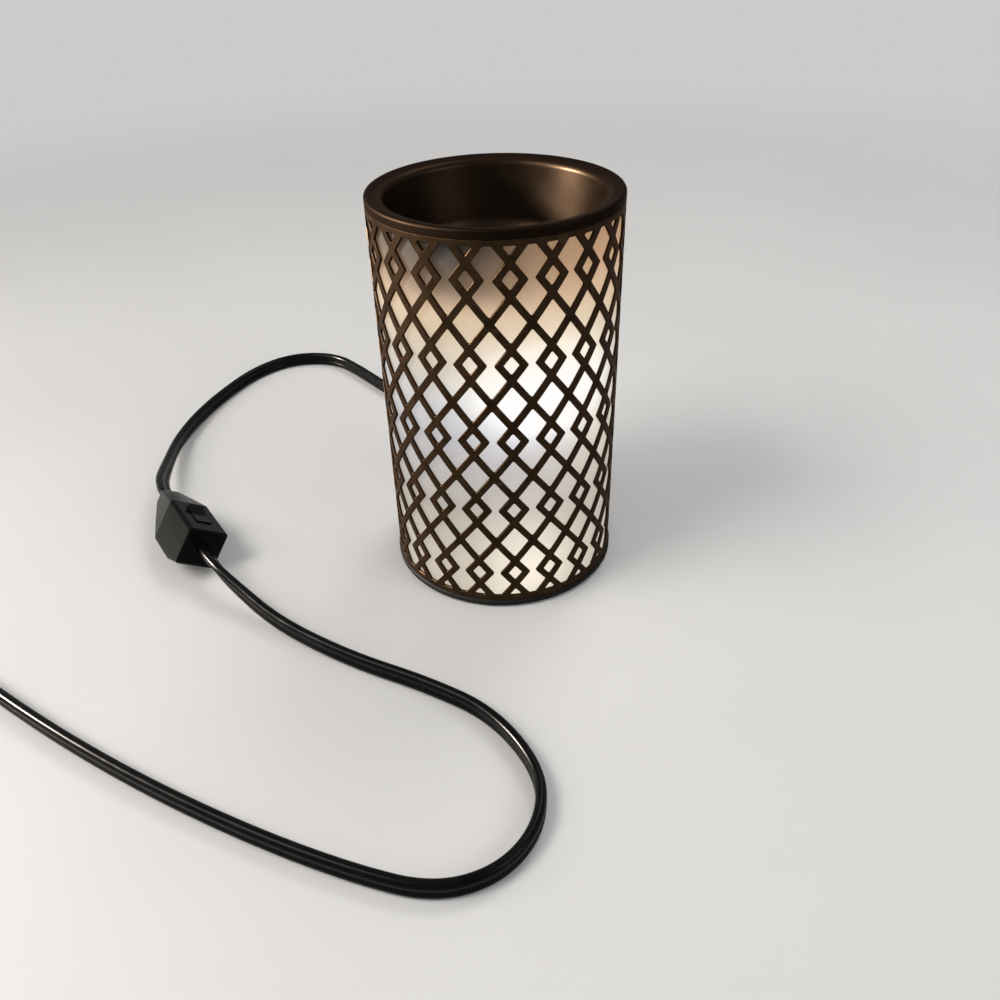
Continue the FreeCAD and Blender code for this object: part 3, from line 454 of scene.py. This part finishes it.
def flat_column(seam_right=False, seam_left=False, notch=None):
    """One column of the unrolled sheet as (points, triangles), with its cells left open."""
    half = column_pitch / 2
    corners = ((-half, sleeve_bottom), (half, sleeve_bottom), (half, sleeve_top), (-half, sleeve_top))
    border = spaced([Vector(p) for p in corners])
    loops = column_holes(seam_right, seam_left)
    if notch:
        left, right = notch
        low = sleeve_bottom - outlet_over
        corners = ((left, low), (right, low), (right, outlet_top), (left, outlet_top))
        loops.append(spaced([Vector(p) for p in corners]))
    points = []
    edges = []
    for loop in [border] + loops:
        start = len(points)
        points += [Vector(p) / MM for p in loop]
        edges += [(start + i, start + (i + 1) % len(loop)) for i in range(len(loop))]
    found, _, triangles, _, _, _ = delaunay_2d_cdt(points, edges, [], 1, 1e-4, False)
    flat_loops = [[(p.x, p.y) for p in loop] for loop in loops]
    holes = [(loop, box_of(loop)) for loop in flat_loops]
    kept = []
    for triangle in triangles:
        centre = sum((found[i] for i in triangle), Vector((0, 0))) / 3 * MM
        if abs(centre.x) <= half and not in_hole(centre, holes):
            kept.append(tuple(triangle))
    return [p * MM for p in found], kept


def joined_sheet(parts):
    """Columns laid side by side, each (points, faces, angle of its middle), welded into one sheet where
    their points meet to within a micrometre."""
    index = {}
    points = []
    faces = []
    for flat, triangles, middle in parts:
        numbers = []
        for p in flat:
            angle = (middle + p.x / sleeve_radius) % TAU
            key = (round(angle * 1e5) % round(TAU * 1e5), round(p.y * 1e7))
            if key not in index:
                index[key] = len(points)
                points.append((angle, p.y))
            numbers.append(index[key])
        for triangle in triangles:
            corners = tuple(numbers[i] for i in triangle)
            if len(set(corners)) == len(corners):
                faces.append(corners)
    return points, faces


def border_of(faces):
    """The edges that only one face has, each from its start to its end."""
    border = {}
    for face in faces:
        for a, b in zip(face, face[1:] + face[:1]):
            if (b, a) in border:
                del border[(b, a)]
            else:
                border[(a, b)] = True
    return list(border)


def wrapped(name, flat, faces, outside, inside_radius, chamfer):
    """Wraps an unrolled sheet of (angle, height) points on a cylinder, gives it its thickness, and breaks
    the outer edge of every opening and border with a small chamfer."""
    border = border_of(faces)
    following = dict(border)
    ahead = {b: a for a, b in border}

    def place(angle, height, radius):
        return (radius * math.sin(angle), -radius * math.cos(angle), height)

    def drawn_back(i):
        """The border point moved into the sheet by the chamfer."""
        angle, height = flat[i]

        def step(j, k):
            turn = (flat[k][0] - flat[j][0] + math.pi) % TAU - math.pi
            return Vector((turn * outside, flat[k][1] - flat[j][1])).normalized()

        along = (step(ahead[i], i) + step(i, following[i])).normalized()
        return angle - along.y * chamfer / outside, height + along.x * chamfer

    points = []
    outer = {}
    for i, (angle, height) in enumerate(flat):
        outer[i] = len(points)
        if i in following and i in ahead:
            angle, height = drawn_back(i)
        points.append(place(angle, height, outside))
    inner = {}
    for i, (angle, height) in enumerate(flat):
        inner[i] = len(points)
        points.append(place(angle, height, inside_radius))
    wall = {}
    for i in following:
        angle, height = flat[i]
        wall[i] = len(points)
        points.append(place(angle, height, outside - chamfer))
    made = [tuple(outer[i] for i in face) for face in faces]
    made += [tuple(inner[i] for i in reversed(face)) for face in faces]
    for a, b in border:
        made.append((outer[b], outer[a], wall[a], wall[b]))
        made.append((wall[b], wall[a], inner[a], inner[b]))
    return mesh_of(name, points, made)


def lattice_sleeve():
    """The pierced sheet, with its upright seam and its notch over the cord's outlet at the back."""
    plain = flat_column()
    seam_column = column_count // 2 - 1
    parts = []
    for column in range(column_count):
        middle = column_azimuth + column * column_step
        if column in (seam_column, seam_column + 1):
            to_back = (math.pi - middle) * sleeve_radius
            reach = math.asin(outlet_half / sleeve_radius) * sleeve_radius
            flat, faces = flat_column(column == seam_column, column == seam_column + 1,
                                      (to_back - reach, to_back + reach))
        else:
            flat, faces = plain
        parts.append((flat, faces, middle))
    flat, faces = joined_sheet(parts)
    mesh = wrapped("lattice_sleeve_sheet", flat, faces, sleeve_radius, sleeve_radius - sleeve_sheet,
                   sheet_chamfer)
    piece = add("lattice_sleeve_sheet", mesh, bronze_paint(), "root", "sleeve_metal", "lattice_sleeve")
    return soften(piece)


# Frosted diffuser

diffuser_outside = 46.4 * MM
diffuser_wall = 2.4 * MM
diffuser_chamfer = 0.3 * MM
diffuser_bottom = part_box("frosted_diffuser")[0].z
diffuser_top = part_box("frosted_diffuser")[1].z
diffuser_sides = 240
diffuser_rows = 40
notch_clearance = 0.006       # in radians, between the sides of the notch and the next corner of the tube


def frosted_diffuser():
    """The glass tube, with its notch over the cord's outlet at the back."""
    reach = math.asin(outlet_half / diffuser_outside)
    angles = [TAU * k / diffuser_sides for k in range(diffuser_sides)]
    angles = [a for a in angles if abs(abs(a - math.pi) - reach) > notch_clearance]
    angles = sorted(angles + [math.pi - reach, math.pi + reach])
    tall = diffuser_top - outlet_top
    heights = [diffuser_bottom, outlet_top]
    heights += [outlet_top + tall * (k + 1) / diffuser_rows for k in range(diffuser_rows)]
    flat = [(a, z) for z in heights for a in angles]
    count = len(angles)
    in_notch = [abs(a - math.pi) < reach + 1e-6 for a in angles]
    faces = []
    for row in range(len(heights) - 1):
        for k in range(count):
            n = (k + 1) % count
            if row == 0 and in_notch[k] and in_notch[n]:
                continue
            faces.append((row * count + k, row * count + n, (row + 1) * count + n, (row + 1) * count + k))
    mesh = wrapped("frosted_diffuser_tube", flat, faces, diffuser_outside, diffuser_outside - diffuser_wall,
                   diffuser_chamfer)
    piece = add("frosted_diffuser_tube", mesh, lit_frosted_glass(), "root", "frosted_glass",
                "frosted_diffuser")
    return soften(piece)


# Painted light on the glass, in degrees round it from the front, millimetres up it, and shares of its height.
# A pool has its place round the glass, its spread, its height, its spread up and down, and its strength.
HOT_POOL = (20, 33, 99, 19, 0.47)
FOOT_POOL = (12, 28, 20, 24, 0.23)
SIDE_POOL = (60, 30, 74, 28, 0.12)
MIDDLE_POOL = (8, 30, 53, 20, 0.055)
EVEN_GLOW = [(0.06, 0.77), (0.3, 0.70), (0.5, 0.735), (0.68, 0.80), (0.82, 0.845)]
# The dish's shade on the glass is painted: RIM_SHADE and RIM_PATCH darken its top.
RIM_SHADE = (130, 158)        # from where the dish's shade starts, up to where it is full
RIM_PATCH = (-16, 28, 130, 142, 0.24)   # a darker place: where round it, spread, heights, strength
light_side = 70               # degrees round from the front, where the dish shades the glass least
least_shade = 0.14
most_shade = 0.53
GLOW_TINT = [(0.09, (1.0, 0.90, 0.745)), (0.28, (1.0, 0.91, 0.79)), (0.4, (1.0, 0.93, 0.89)),
             (0.5, (0.985, 0.96, 0.995)), (0.61, (1.0, 0.985, 0.97)), (0.7, (1.0, 0.875, 0.70)),
             (0.81, (1.0, 0.765, 0.51)), (0.87, (1.0, 0.67, 0.425)), (0.94, (1.0, 0.605, 0.33))]


class GlassNodes(Nodes):
    """Nodes that paint light on the glass, by the angle round it and the height up it."""

    def __init__(self, name):
        super().__init__(name)
        axes = self.node("SeparateXYZ")
        self.link(self.place, axes.inputs[0])
        x, y, self.height = axes.outputs
        self.angle = self.math("ARCTAN2", x, self.math("MULTIPLY", y, -1))
        self.share = self.math("DIVIDE", self.height, diffuser_top)

    def around(self, degrees):
        """The angle round the glass, measured from a direction that many degrees from the front."""
        return self.math("WRAP", self.math("SUBTRACT", self.angle, math.radians(degrees)), math.pi, -math.pi)

    def bell(self, value, width):
        """1 where the value is nought, fading smoothly over a width."""
        share = self.math("DIVIDE", value, width)
        return self.math("POWER", math.e, self.math("MULTIPLY", self.math("MULTIPLY", share, share), -1))

    def climb(self, low, high):
        """From 0 to 1 between two heights in millimetres."""
        return self.step(self.height, low * MM, high * MM)

    def pool(self, azimuth, spread, height, rise, strength):
        """A soft oval pool of light on the glass."""
        beside = self.bell(self.around(azimuth), math.radians(spread))
        above = self.bell(self.math("SUBTRACT", self.height, height * MM), rise * MM)
        return self.math("MULTIPLY", self.math("MULTIPLY", beside, above), strength)


def glass_light(m, hot, side, grain):
    """How strongly the glass is lit: pools on an even glow, less the shade of the dish, with a fine grain."""
    light = m.ramp(m.share, EVEN_GLOW)
    for pool in (hot, m.pool(*FOOT_POOL), side, m.pool(*MIDDLE_POOL)):
        light = m.math("ADD", light, pool)
    lit_side = m.math("MULTIPLY_ADD", m.math("COSINE", m.around(light_side)), 0.5, 0.5)
    shade = m.math("MULTIPLY_ADD", lit_side, least_shade - most_shade, most_shade)
    shade = m.math("MULTIPLY", m.climb(*RIM_SHADE), shade)
    azimuth, spread, low, high, strength = RIM_PATCH
    patch = m.math("MULTIPLY", m.bell(m.around(azimuth), math.radians(spread)), m.climb(low, high))
    light = m.math("SUBTRACT", light, m.math("MULTIPLY_ADD", patch, strength, shade))
    for noise, depth in ((m.noise(42, 3.0), 0.07), (grain, 0.09)):
        light = m.math("MULTIPLY_ADD", m.math("SUBTRACT", noise, 0.5), depth, light)
    light = m.math("MINIMUM", m.math("MAXIMUM", light, 0.0), 1.0)
    return m.math("MAXIMUM", m.math("MULTIPLY_ADD", m.math("POWER", light, 2.2), 1.06, -0.06), 0.0)


def lit_frosted_glass():
    """White frosted glass with the bulb's light painted on it as a glow: a hot pool in front of the bulb, a
    smaller one near the foot, a cool middle, and warm dim light in the painted shade of the dish."""
    m = GlassNodes("lit_frosted_glass")
    hot = m.pool(*HOT_POOL)
    side = m.pool(*SIDE_POOL)
    grain = m.noise(1900, 2.0)
    tint = m.mix(m.math("MULTIPLY", side, 6.5), m.ramp(m.share, GLOW_TINT), (1.0, 0.905, 0.70))
    tint = m.mix(m.math("MULTIPLY", hot, 1.9), tint, (1.0, 0.995, 0.985))
    lit = m.node("VectorMath", operation="SCALE")
    m.link(tint, lit.inputs[0])
    m.link(glass_light(m, hot, side, grain), lit.inputs["Scale"])
    m.emission(lit.outputs[0])
    # Its own colour is kept dark, so that the painted glow carries its look.
    m.colour(m.ramp(m.noise(90, 3.0), [(0.3, (0.045, 0.043, 0.04)), (0.7, (0.06, 0.0575, 0.054))]))
    m.roughness(m.ramp(m.noise(300, 4.0), [(0.3, 0.5), (0.7, 0.62)]))
    m.bump(grain, 0.15, 0.00006)
    m.set(specular=0.2, emission=0.96)
    return m.material


# Dish

dish_radius = 48 * MM
dish_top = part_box("warming_dish")[1].z
lip_rounding = 1.3 * MM
crest_width = 1.6 * MM
shoulder_width = 6.8 * MM
shoulder_drop = 1.3 * MM
mouth_rounding = 3.0 * MM
bowl_depth = 29.2 * MM
bowl_slope = math.tan(math.radians(10))
floor_rounding = 8 * MM
dish_wall = 1.3 * MM
skirt_outside = 43.6 * MM
skirt_wall = 1.3 * MM
skirt_depth = 5.4 * MM
dish_edge = 0.3 * MM          # the rounding of its small edges
dish_arc_steps = 10
dish_segments = 256


def warming_dish():
    """The bowl with its rolled rim, and the skirt that sits in the top of the glass."""
    floor = dish_top - bowl_depth
    shoulder = dish_top - shoulder_drop
    mouth = dish_radius - shoulder_width
    corner = mouth - (shoulder - floor) * bowl_slope
    thick = dish_wall * math.hypot(1, bowl_slope)
    under = floor - dish_wall
    lip = sleeve_top
    skirt_inside = skirt_outside - skirt_wall
    small = dish_edge
    half = [(0, floor, 0), (corner, floor, floor_rounding), (mouth, shoulder, mouth_rounding),
            (dish_radius - crest_width, dish_top, small), (dish_radius, dish_top, lip_rounding - small / 2),
            (dish_radius, lip, small), (skirt_outside, lip, small), (skirt_outside, lip - skirt_depth, small),
            (skirt_inside, lip - skirt_depth, small), (skirt_inside, lip, small),
            (mouth + thick - (shoulder - lip) * bowl_slope, lip, small),
            (corner + thick - dish_wall * bowl_slope, under, floor_rounding + dish_wall), (0, under, 0)]
    line = rounded([(r, z) for r, z, radius in half], [radius for r, z, radius in half], dish_arc_steps)
    mesh = lathe("warming_dish_bowl", [(p.x, p.y) for p in line], dish_segments)
    piece = add("warming_dish_bowl", mesh, dish_enamel(), "dish", "dish_metal", "warming_dish")
    return weighted(piece)


# Flat two-core cord

cord_width = 7.6 * MM
cord_thickness = 3.9 * MM
core_offset = (cord_width - cord_thickness) / 2
core_opening = math.radians(46)   # of each core's arc beyond a half circle, at either end
core_steps = 18
web_half = 1.42 * MM          # half the thickness in the groove between the cores
tube_width = 5.6 * MM         # of the solid that the cord replaces
bore_hold = 3.2 * MM          # along which the end of a cord stays round, in the bore of the switch
bore_easing = 6.5 * MM        # along which it then turns flat
cord_crease = 0.9             # in radians, the least angle between faces that shows as an edge


def spline_points(name, route, spacing=1.2 * MM):
    """Points along the smooth cord line whose control points are the route."""
    curve = bpy.data.curves.new(name, "CURVE")
    curve.dimensions = "3D"
    curve.resolution_u = 24
    spline = curve.splines.new("NURBS")
    spline.points.add(len(route) - 1)
    for point, (x, y, z) in zip(spline.points, route):
        point.co = (x, y, z, 1)
    spline.order_u = 3
    spline.use_endpoint_u = True
    holder = bpy.data.objects.new(name, curve)
    line = bpy.data.meshes.new_from_object(holder)
    dense = [v.co.copy() for v in line.vertices]
    bpy.data.objects.remove(holder)
    bpy.data.meshes.remove(line)
    points = [dense[0]]
    left = spacing
    for here, there in zip(dense, dense[1:]):
        step = (there - here).length
        while step > left:
            here = here.lerp(there, left / step)
            points.append(here.copy())
            step = (there - here).length
            left = spacing
        left -= step
    points.append(dense[-1])
    return points


def cord_section(flatness=1.0):
    """The outline of two round cores side by side, with a shallow groove along the middle of each flat. At a
    flatness of 0 it is the round end that a switch's bore holds."""
    outline = []
    core = cord_thickness / 2
    for k in range(core_steps + 1):
        a = (math.pi + 2 * core_opening) * k / core_steps - core_opening
        outline.append((core * math.cos(a), core_offset + core * math.sin(a)))
    outline.append((-web_half, 0))
    outline += [(-x, -y) for x, y in outline]
    eased = []
    for x, y in outline:
        reach = math.hypot(x, y)
        radius = tube_width / 2 + (reach - tube_width / 2) * flatness
        eased.append((x * radius / reach, y * radius / reach))
    return eased


def flat_cord(name, points, turned_at, flat_at):
    """Sweeps the section along the points; turned_at gives its roll in radians at a distance, and flat_at how
    flat it is there."""
    rings = []
    distance = 0.0
    total = sum((b - a).length for a, b in zip(points, points[1:]))
    for i, here in enumerate(points):
        before = points[max(i - 1, 0)]
        after = points[min(i + 1, len(points) - 1)]
        along = (after - before).normalized()
        across = along.cross(UP).normalized()
        over = across.cross(along)
        if i:
            distance += (here - before).length
        roll = turned_at(distance, total)
        ring = []
        for x, y in cord_section(flat_at(distance, total)):
            side = x * math.cos(roll) - y * math.sin(roll)
            rise = x * math.sin(roll) + y * math.cos(roll)
            ring.append(here + across * side + over * rise)
        rings.append(ring)
    count = len(rings[0])
    vertices = [p for ring in rings for p in ring]
    faces = [tuple(reversed(range(count))), tuple(range(len(vertices) - count, len(vertices)))]
    for i in range(len(rings) - 1):
        for k in range(count):
            n = (k + 1) % count
            faces.append((i * count + k, i * count + n, (i + 1) * count + n, (i + 1) * count + k))
    return mesh_of(name, vertices, faces)


def ease(value):
    """From 0 to 1, with a gentle start and end."""
    value = min(max(value, 0.0), 1.0)
    return value * value * (3 - 2 * value)


# The route of the cord on the table, in millimetres: round the back to the switch, and on to the coil
relief_end = 71.4
relief_height = 4.1
switch_roll = math.radians(34.7)
ARCH = [(0, relief_end, relief_height), (0, relief_end + 16, 4.1), (-9, 105, 3.9), (-33, 121, 3.9),
        (-63, 138, 3.9), (-84, 165, 3.9), (-103, 186, 3.9), (-130, 188, 3.9), (-151, 171, 3.9),
        (-165, 141, 3.9), (-173, 114, 4.2), (-176, 85, 5.5), (-172, 54, 9.4), (-166.5, 29.0, 14.7),
        (-157.6, 15.7, 14.7)]
BEND = [(-134.3, -19.2, 14.7), (-125.4, -32.5, 14.7), (-113, -43, 8.9), (-93, -60.5, 4.5), (-61, -81, 3.9),
        (-31, -95, 3.9), (-6, -110.5, 3.9), (10.5, -136.5, 3.9), (9.5, -157.5, 3.9), (-3, -174, 3.9),
        (-23.5, -180.5, 3.9), (-49.5, -173, 3.9), (-84.5, -158.5, 3.9), (-126, -137.5, 3.9),
        (-168, -112.5, 3.9), (-212, -82.5, 3.9), (-241, -66, 3.9)]
coil_radius = 42.0
coil_step = 3.2               # the radius lost or won in half a turn
coil_layer = 7.7
coil_quarters = 10
coil_points_per_turn = 12
coil_exit = 8.0               # from the coil to where the cord starts down, and from there to the plug
coil_exit_drop = 0.8
plug_lead = 27.0
plug_axis = 8.9


def in_metres(route):
    """A route given in millimetres."""
    return [Vector(p) * MM for p in route]


def coil_route():
    """Control points of the put-away coil: in on the table, up where it reverses, and out on top. The cord
    passes inside its control points, so these stand out a little from the coil's radius."""
    end, before = Vector(BEND[-1]), Vector(BEND[-2])
    heading = Vector((end.x - before.x, end.y - before.y, 0)).normalized()
    left = Vector((-heading.y, heading.x, 0))
    middle = end + heading * tube_width / MM + left * coil_radius
    start = math.atan2(heading.y, heading.x) - math.pi / 2
    per_quarter = coil_points_per_turn // 4
    steps = coil_quarters * per_quarter
    stand_out = 1 / (0.75 + 0.25 * math.cos(TAU / coil_points_per_turn))
    route = []
    for k in range(steps):
        quarter = (k + 0.5) / per_quarter
        radius = coil_radius - coil_step * (coil_quarters / 2 - abs(quarter - coil_quarters / 2)) / 2
        radius *= stand_out
        angle = start + quarter * math.pi / 2
        height = end.z + coil_layer * ease((quarter - coil_quarters / 2 + 1) / 2)
        route.append((middle.x + radius * math.cos(angle), middle.y + radius * math.sin(angle), height))
    angle = start + coil_quarters * math.pi / 2
    out = Vector((math.cos(angle), math.sin(angle), 0))
    way = Vector((-out.y, out.x, 0))
    last = middle + out * coil_radius
    top = end.z + coil_layer - coil_exit_drop
    for reach, height in ((coil_exit, top), (plug_lead - coil_exit, plug_axis), (plug_lead, plug_axis)):
        route.append((last.x + way.x * reach, last.y + way.y * reach, height))
    return route


# How the cord turns about its own line: it lies flat at the relief and at the plug, stands on its edge on
# the table, and leans with the switch beside it. Each turn has its start, counted from the nearer end of the
# cord, and its length.
lies_flat = math.pi / 2
relief_turn = (12 * MM, 70 * MM)
switch_turn = (60 * MM, 50 * MM)
bend_turn = (0, 45 * MM)
plug_turn = (30 * MM, 24 * MM)


def turned(distance, turn):
    """How much of a turn that starts at a distance and has a length is done."""
    start, length = turn
    return ease((distance - start) / length)


def turned_to_end(distance, total, turn):
    """The same for a turn whose start is counted back from the end."""
    start, length = turn
    return ease((distance - total + start) / length)


def cords():
    """The cord's two parts: from the lamp to the switch, and from the switch to the plug by the coil."""
    material = cord_pvc()
    points = spline_points("cord_to_switch_line", in_metres(ARCH))

    def roll_first(distance, total):
        rolled = lies_flat * (1 - turned(distance, relief_turn))
        return rolled - switch_roll * turned_to_end(distance, total, switch_turn)

    def flat_first(distance, total):
        return ease((total - distance - bore_hold) / bore_easing)

    mesh = flat_cord("cord_to_switch", points, roll_first, flat_first)
    piece = add("cord_to_switch", mesh, material, "root", "cord_black", "cord_lamp_to_switch")
    soften(piece, cord_crease)
    points = spline_points("cord_to_plug_line", in_metres(BEND + coil_route()))

    def roll_second(distance, total):
        rolled = -switch_roll * (1 - turned(distance, bend_turn))
        return rolled + lies_flat * turned_to_end(distance, total, plug_turn)

    def flat_second(distance, total):
        return ease((distance - bore_hold) / bore_easing)

    mesh = flat_cord("cord_to_plug", points, roll_second, flat_second)
    piece = add("cord_to_plug", mesh, material, "root", "cord_black", "cord_switch_to_coil", "cord_coil")
    soften(piece, cord_crease)


# Materials of the pieces that stay as they are

def dress_solids():
    """The other solids keep their shape, and get the material of their kind."""
    plastic = mottled("base_plastic", (0.006, 0.0055, 0.005), (0.013, 0.012, 0.011), 900, 0.55, 0.7, 0.0001,
                      specular=0.08)
    steel = mottled("zinc_steel", (0.42, 0.42, 0.41), (0.62, 0.62, 0.6), 700, 0.25, 0.42, 0.00005,
                    metallic=1.0)
    brass = mottled("drawn_brass", (0.5, 0.33, 0.11), (0.72, 0.52, 0.22), 600, 0.2, 0.38, 0.00005,
                    metallic=1.0)
    rubber = mottled("foot_rubber", (0.012, 0.012, 0.012), (0.028, 0.027, 0.026), 800, 0.7, 0.88, 0.0001)
    aluminium = mottled("rolled_aluminium", (0.68, 0.68, 0.68), (0.84, 0.84, 0.83), 500, 0.2, 0.36, 0.00004,
                        metallic=1.0, stretch=(0.2, 4, 1))
    phenolic = mottled("phenolic", (0.012, 0.008, 0.006), (0.03, 0.02, 0.015), 500, 0.22, 0.4, 0.00005)
    switch = mottled("switch_plastic", (0.0024, 0.0029, 0.0023), (0.0043, 0.005, 0.0041), 1100, 0.17, 0.21,
                     0.00003, specular=0.035)
    cord = bpy.data.materials["cord_pvc"]
    white = mottled("lead_white", (0.55, 0.54, 0.5), (0.75, 0.74, 0.7), 400, 0.35, 0.5, 0.00005)
    glass = bulb_glass()
    tungsten = glowing_filament()
    dresses = {
        "base_housing": plastic, "bottom_cover": plastic, "cover_screws": steel, "rubber_feet": rubber,
        "deck_reflector": aluminium, "socket_bracket": steel, "bracket_screws": steel,
        "socket_body": phenolic, "socket_screw_shell": brass, "socket_centre_contact": brass,
        "socket_rivet": brass, "terminal_screws": brass, "bulb_glass": glass, "bulb_cap": aluminium,
        "bulb_insulator": phenolic, "bulb_centre_contact": brass, "bulb_stem": glass,
        "bulb_filament": tungsten, "strain_relief": cord, "live_lead": cord, "neutral_lead": white,
        "switch_lower_shell": switch, "switch_upper_shell": switch, "switch_rocker": switch,
        "switch_contacts": brass, "switch_screw": steel, "plug_body": cord, "plug_blades": brass,
    }
    for node, material in dresses.items():
        piece = nodes[node]
        piece.data.materials.clear()
        piece.data.materials.append(material)


def bulb_glass():
    """Soft white bulb glass, lit from inside."""
    m = Nodes("bulb_glass_lit")
    m.colour(m.ramp(m.noise(120, 3.0), [(0.3, (0.86, 0.84, 0.8)), (0.7, (0.92, 0.91, 0.88))]))
    m.roughness(m.ramp(m.noise(400, 3.0), [(0.3, 0.3), (0.7, 0.42)]))
    m.emission(m.ramp(m.noise(60, 2.0), [(0.3, (1.0, 0.86, 0.64)), (0.7, (1.0, 0.9, 0.72))]))
    m.bump(m.noise(900, 2.0), 0.1, 0.00005)
    m.set(emission=0.7)
    return m.material


def glowing_filament():
    """Tungsten wire at a warm white heat."""
    m = Nodes("glowing_filament")
    m.colour(m.ramp(m.noise(500, 3.0), [(0.3, (0.5, 0.35, 0.2)), (0.7, (0.7, 0.5, 0.3))]))
    m.roughness(m.ramp(m.noise(500, 3.0), [(0.3, 0.3), (0.7, 0.5)]))
    m.emission(m.ramp(m.noise(300, 2.0), [(0.3, (1.0, 0.6, 0.25)), (0.7, (1.0, 0.7, 0.35))]))
    m.set(metallic=1.0, emission=4.0)
    return m.material


# Studio

shadow_reach = 0.35           # from the middle of the floor, up to where it shows its own shadows
backdrop_reach = 1.1          # and from where it is all backdrop
backdrop_colour = (0.602, 0.595, 0.585, 1)
sky_colour = (0.95, 0.97, 1.0, 1)
sky_strength = 0.38
lamp_aim = Vector((-0.04, 0.0, 0.06))
sweep_reach = 4.0
sweep_wall = 3.0
sweep_bend = 1.0
sweep_steps = 16


def floor_material():
    """Pale paint that takes the object's shadow nearby, and fades into an even backdrop further off."""
    m = Nodes("floor_paint")
    m.colour(m.ramp(m.noise(7, 5.0), [(0.3, (0.64, 0.632, 0.62)), (0.7, (0.67, 0.663, 0.65))]))
    m.roughness(m.ramp(m.noise(20, 4.0), [(0.3, 0.62), (0.7, 0.75)]))
    m.set(specular=0.2)
    far = m.step(m.length(m.place), shadow_reach, backdrop_reach)
    path = m.node("LightPath").outputs
    mirrored = m.math("MAXIMUM", path["Is Glossy Ray"], path["Is Transmission Ray"])
    seen = m.math("MAXIMUM", path["Is Camera Ray"], mirrored)
    backdrop = m.node("Emission")
    backdrop.inputs["Color"].default_value = backdrop_colour
    shown = m.node("MixShader")
    m.link(m.math("MULTIPLY", far, seen), shown.inputs[0])
    m.link(m.shader.outputs[0], shown.inputs[1])
    m.link(backdrop.outputs[0], shown.inputs[2])
    m.link(shown.outputs[0], m.tree.nodes["Material Output"].inputs["Surface"])
    return m.material


def sweep():
    """A floor that curves up into a back wall."""
    bend_start = sweep_wall - sweep_bend
    profile = [(-sweep_reach, 0.0), (bend_start, 0.0)]
    for k in range(1, sweep_steps + 1):
        a = k * math.pi / 2 / sweep_steps
        profile.append((bend_start + sweep_bend * math.sin(a), sweep_bend - sweep_bend * math.cos(a)))
    profile.append((sweep_wall, sweep_reach))
    points = [(x, y, z) for y, z in profile for x in (-sweep_reach, sweep_reach)]
    faces = [(2 * i, 2 * i + 1, 2 * i + 3, 2 * i + 2) for i in range(len(profile) - 1)]
    made = bpy.data.objects.new("studio_sweep", mesh_of("studio_sweep", points, faces))
    made.data.materials.append(floor_material())
    bpy.context.scene.collection.objects.link(made)


def lamp(name, place, width, power, colour):
    """A round soft lamp that faces the object, itself out of the picture."""
    data = bpy.data.lights.new(name, "AREA")
    data.shape = "DISK"
    data.size = width
    data.energy = power
    data.color = colour
    made = bpy.data.objects.new(name, data)
    made.location = place
    aim = lamp_aim - made.location
    made.rotation_euler = aim.to_track_quat("-Z", "Y").to_euler()
    made.visible_camera = False
    bpy.context.scene.collection.objects.link(made)
    return made


def studio():
    """Soft light from both sides and from the back, and one lamp for the streak in the bowl."""
    sweep()
    lamp("key", (-0.6, -0.3, 0.85), 0.5, 6.2, (1.0, 0.97, 0.93))
    lamp("fill", (0.8, -0.5, 0.6), 0.6, 3.2, (0.97, 0.98, 1.0))
    lamp("back", (0.35, 0.6, 1.1), 0.5, 4.2, (1.0, 0.98, 0.96))
    glint = lamp("glint", (-1.18, -0.01, 0.575), 0.22, 145.0, (1.0, 0.90, 0.79))
    glint.visible_diffuse = False
    world = bpy.data.worlds.new("studio_world")
    world.use_nodes = True
    background = world.node_tree.nodes["Background"]
    background.inputs["Color"].default_value = sky_colour
    background.inputs["Strength"].default_value = sky_strength
    bpy.context.scene.world = world
    bpy.context.scene.view_settings.view_transform = "Standard"


camera()
cords()
lattice_sleeve()
frosted_diffuser()
warming_dish()
dress_solids()
studio()
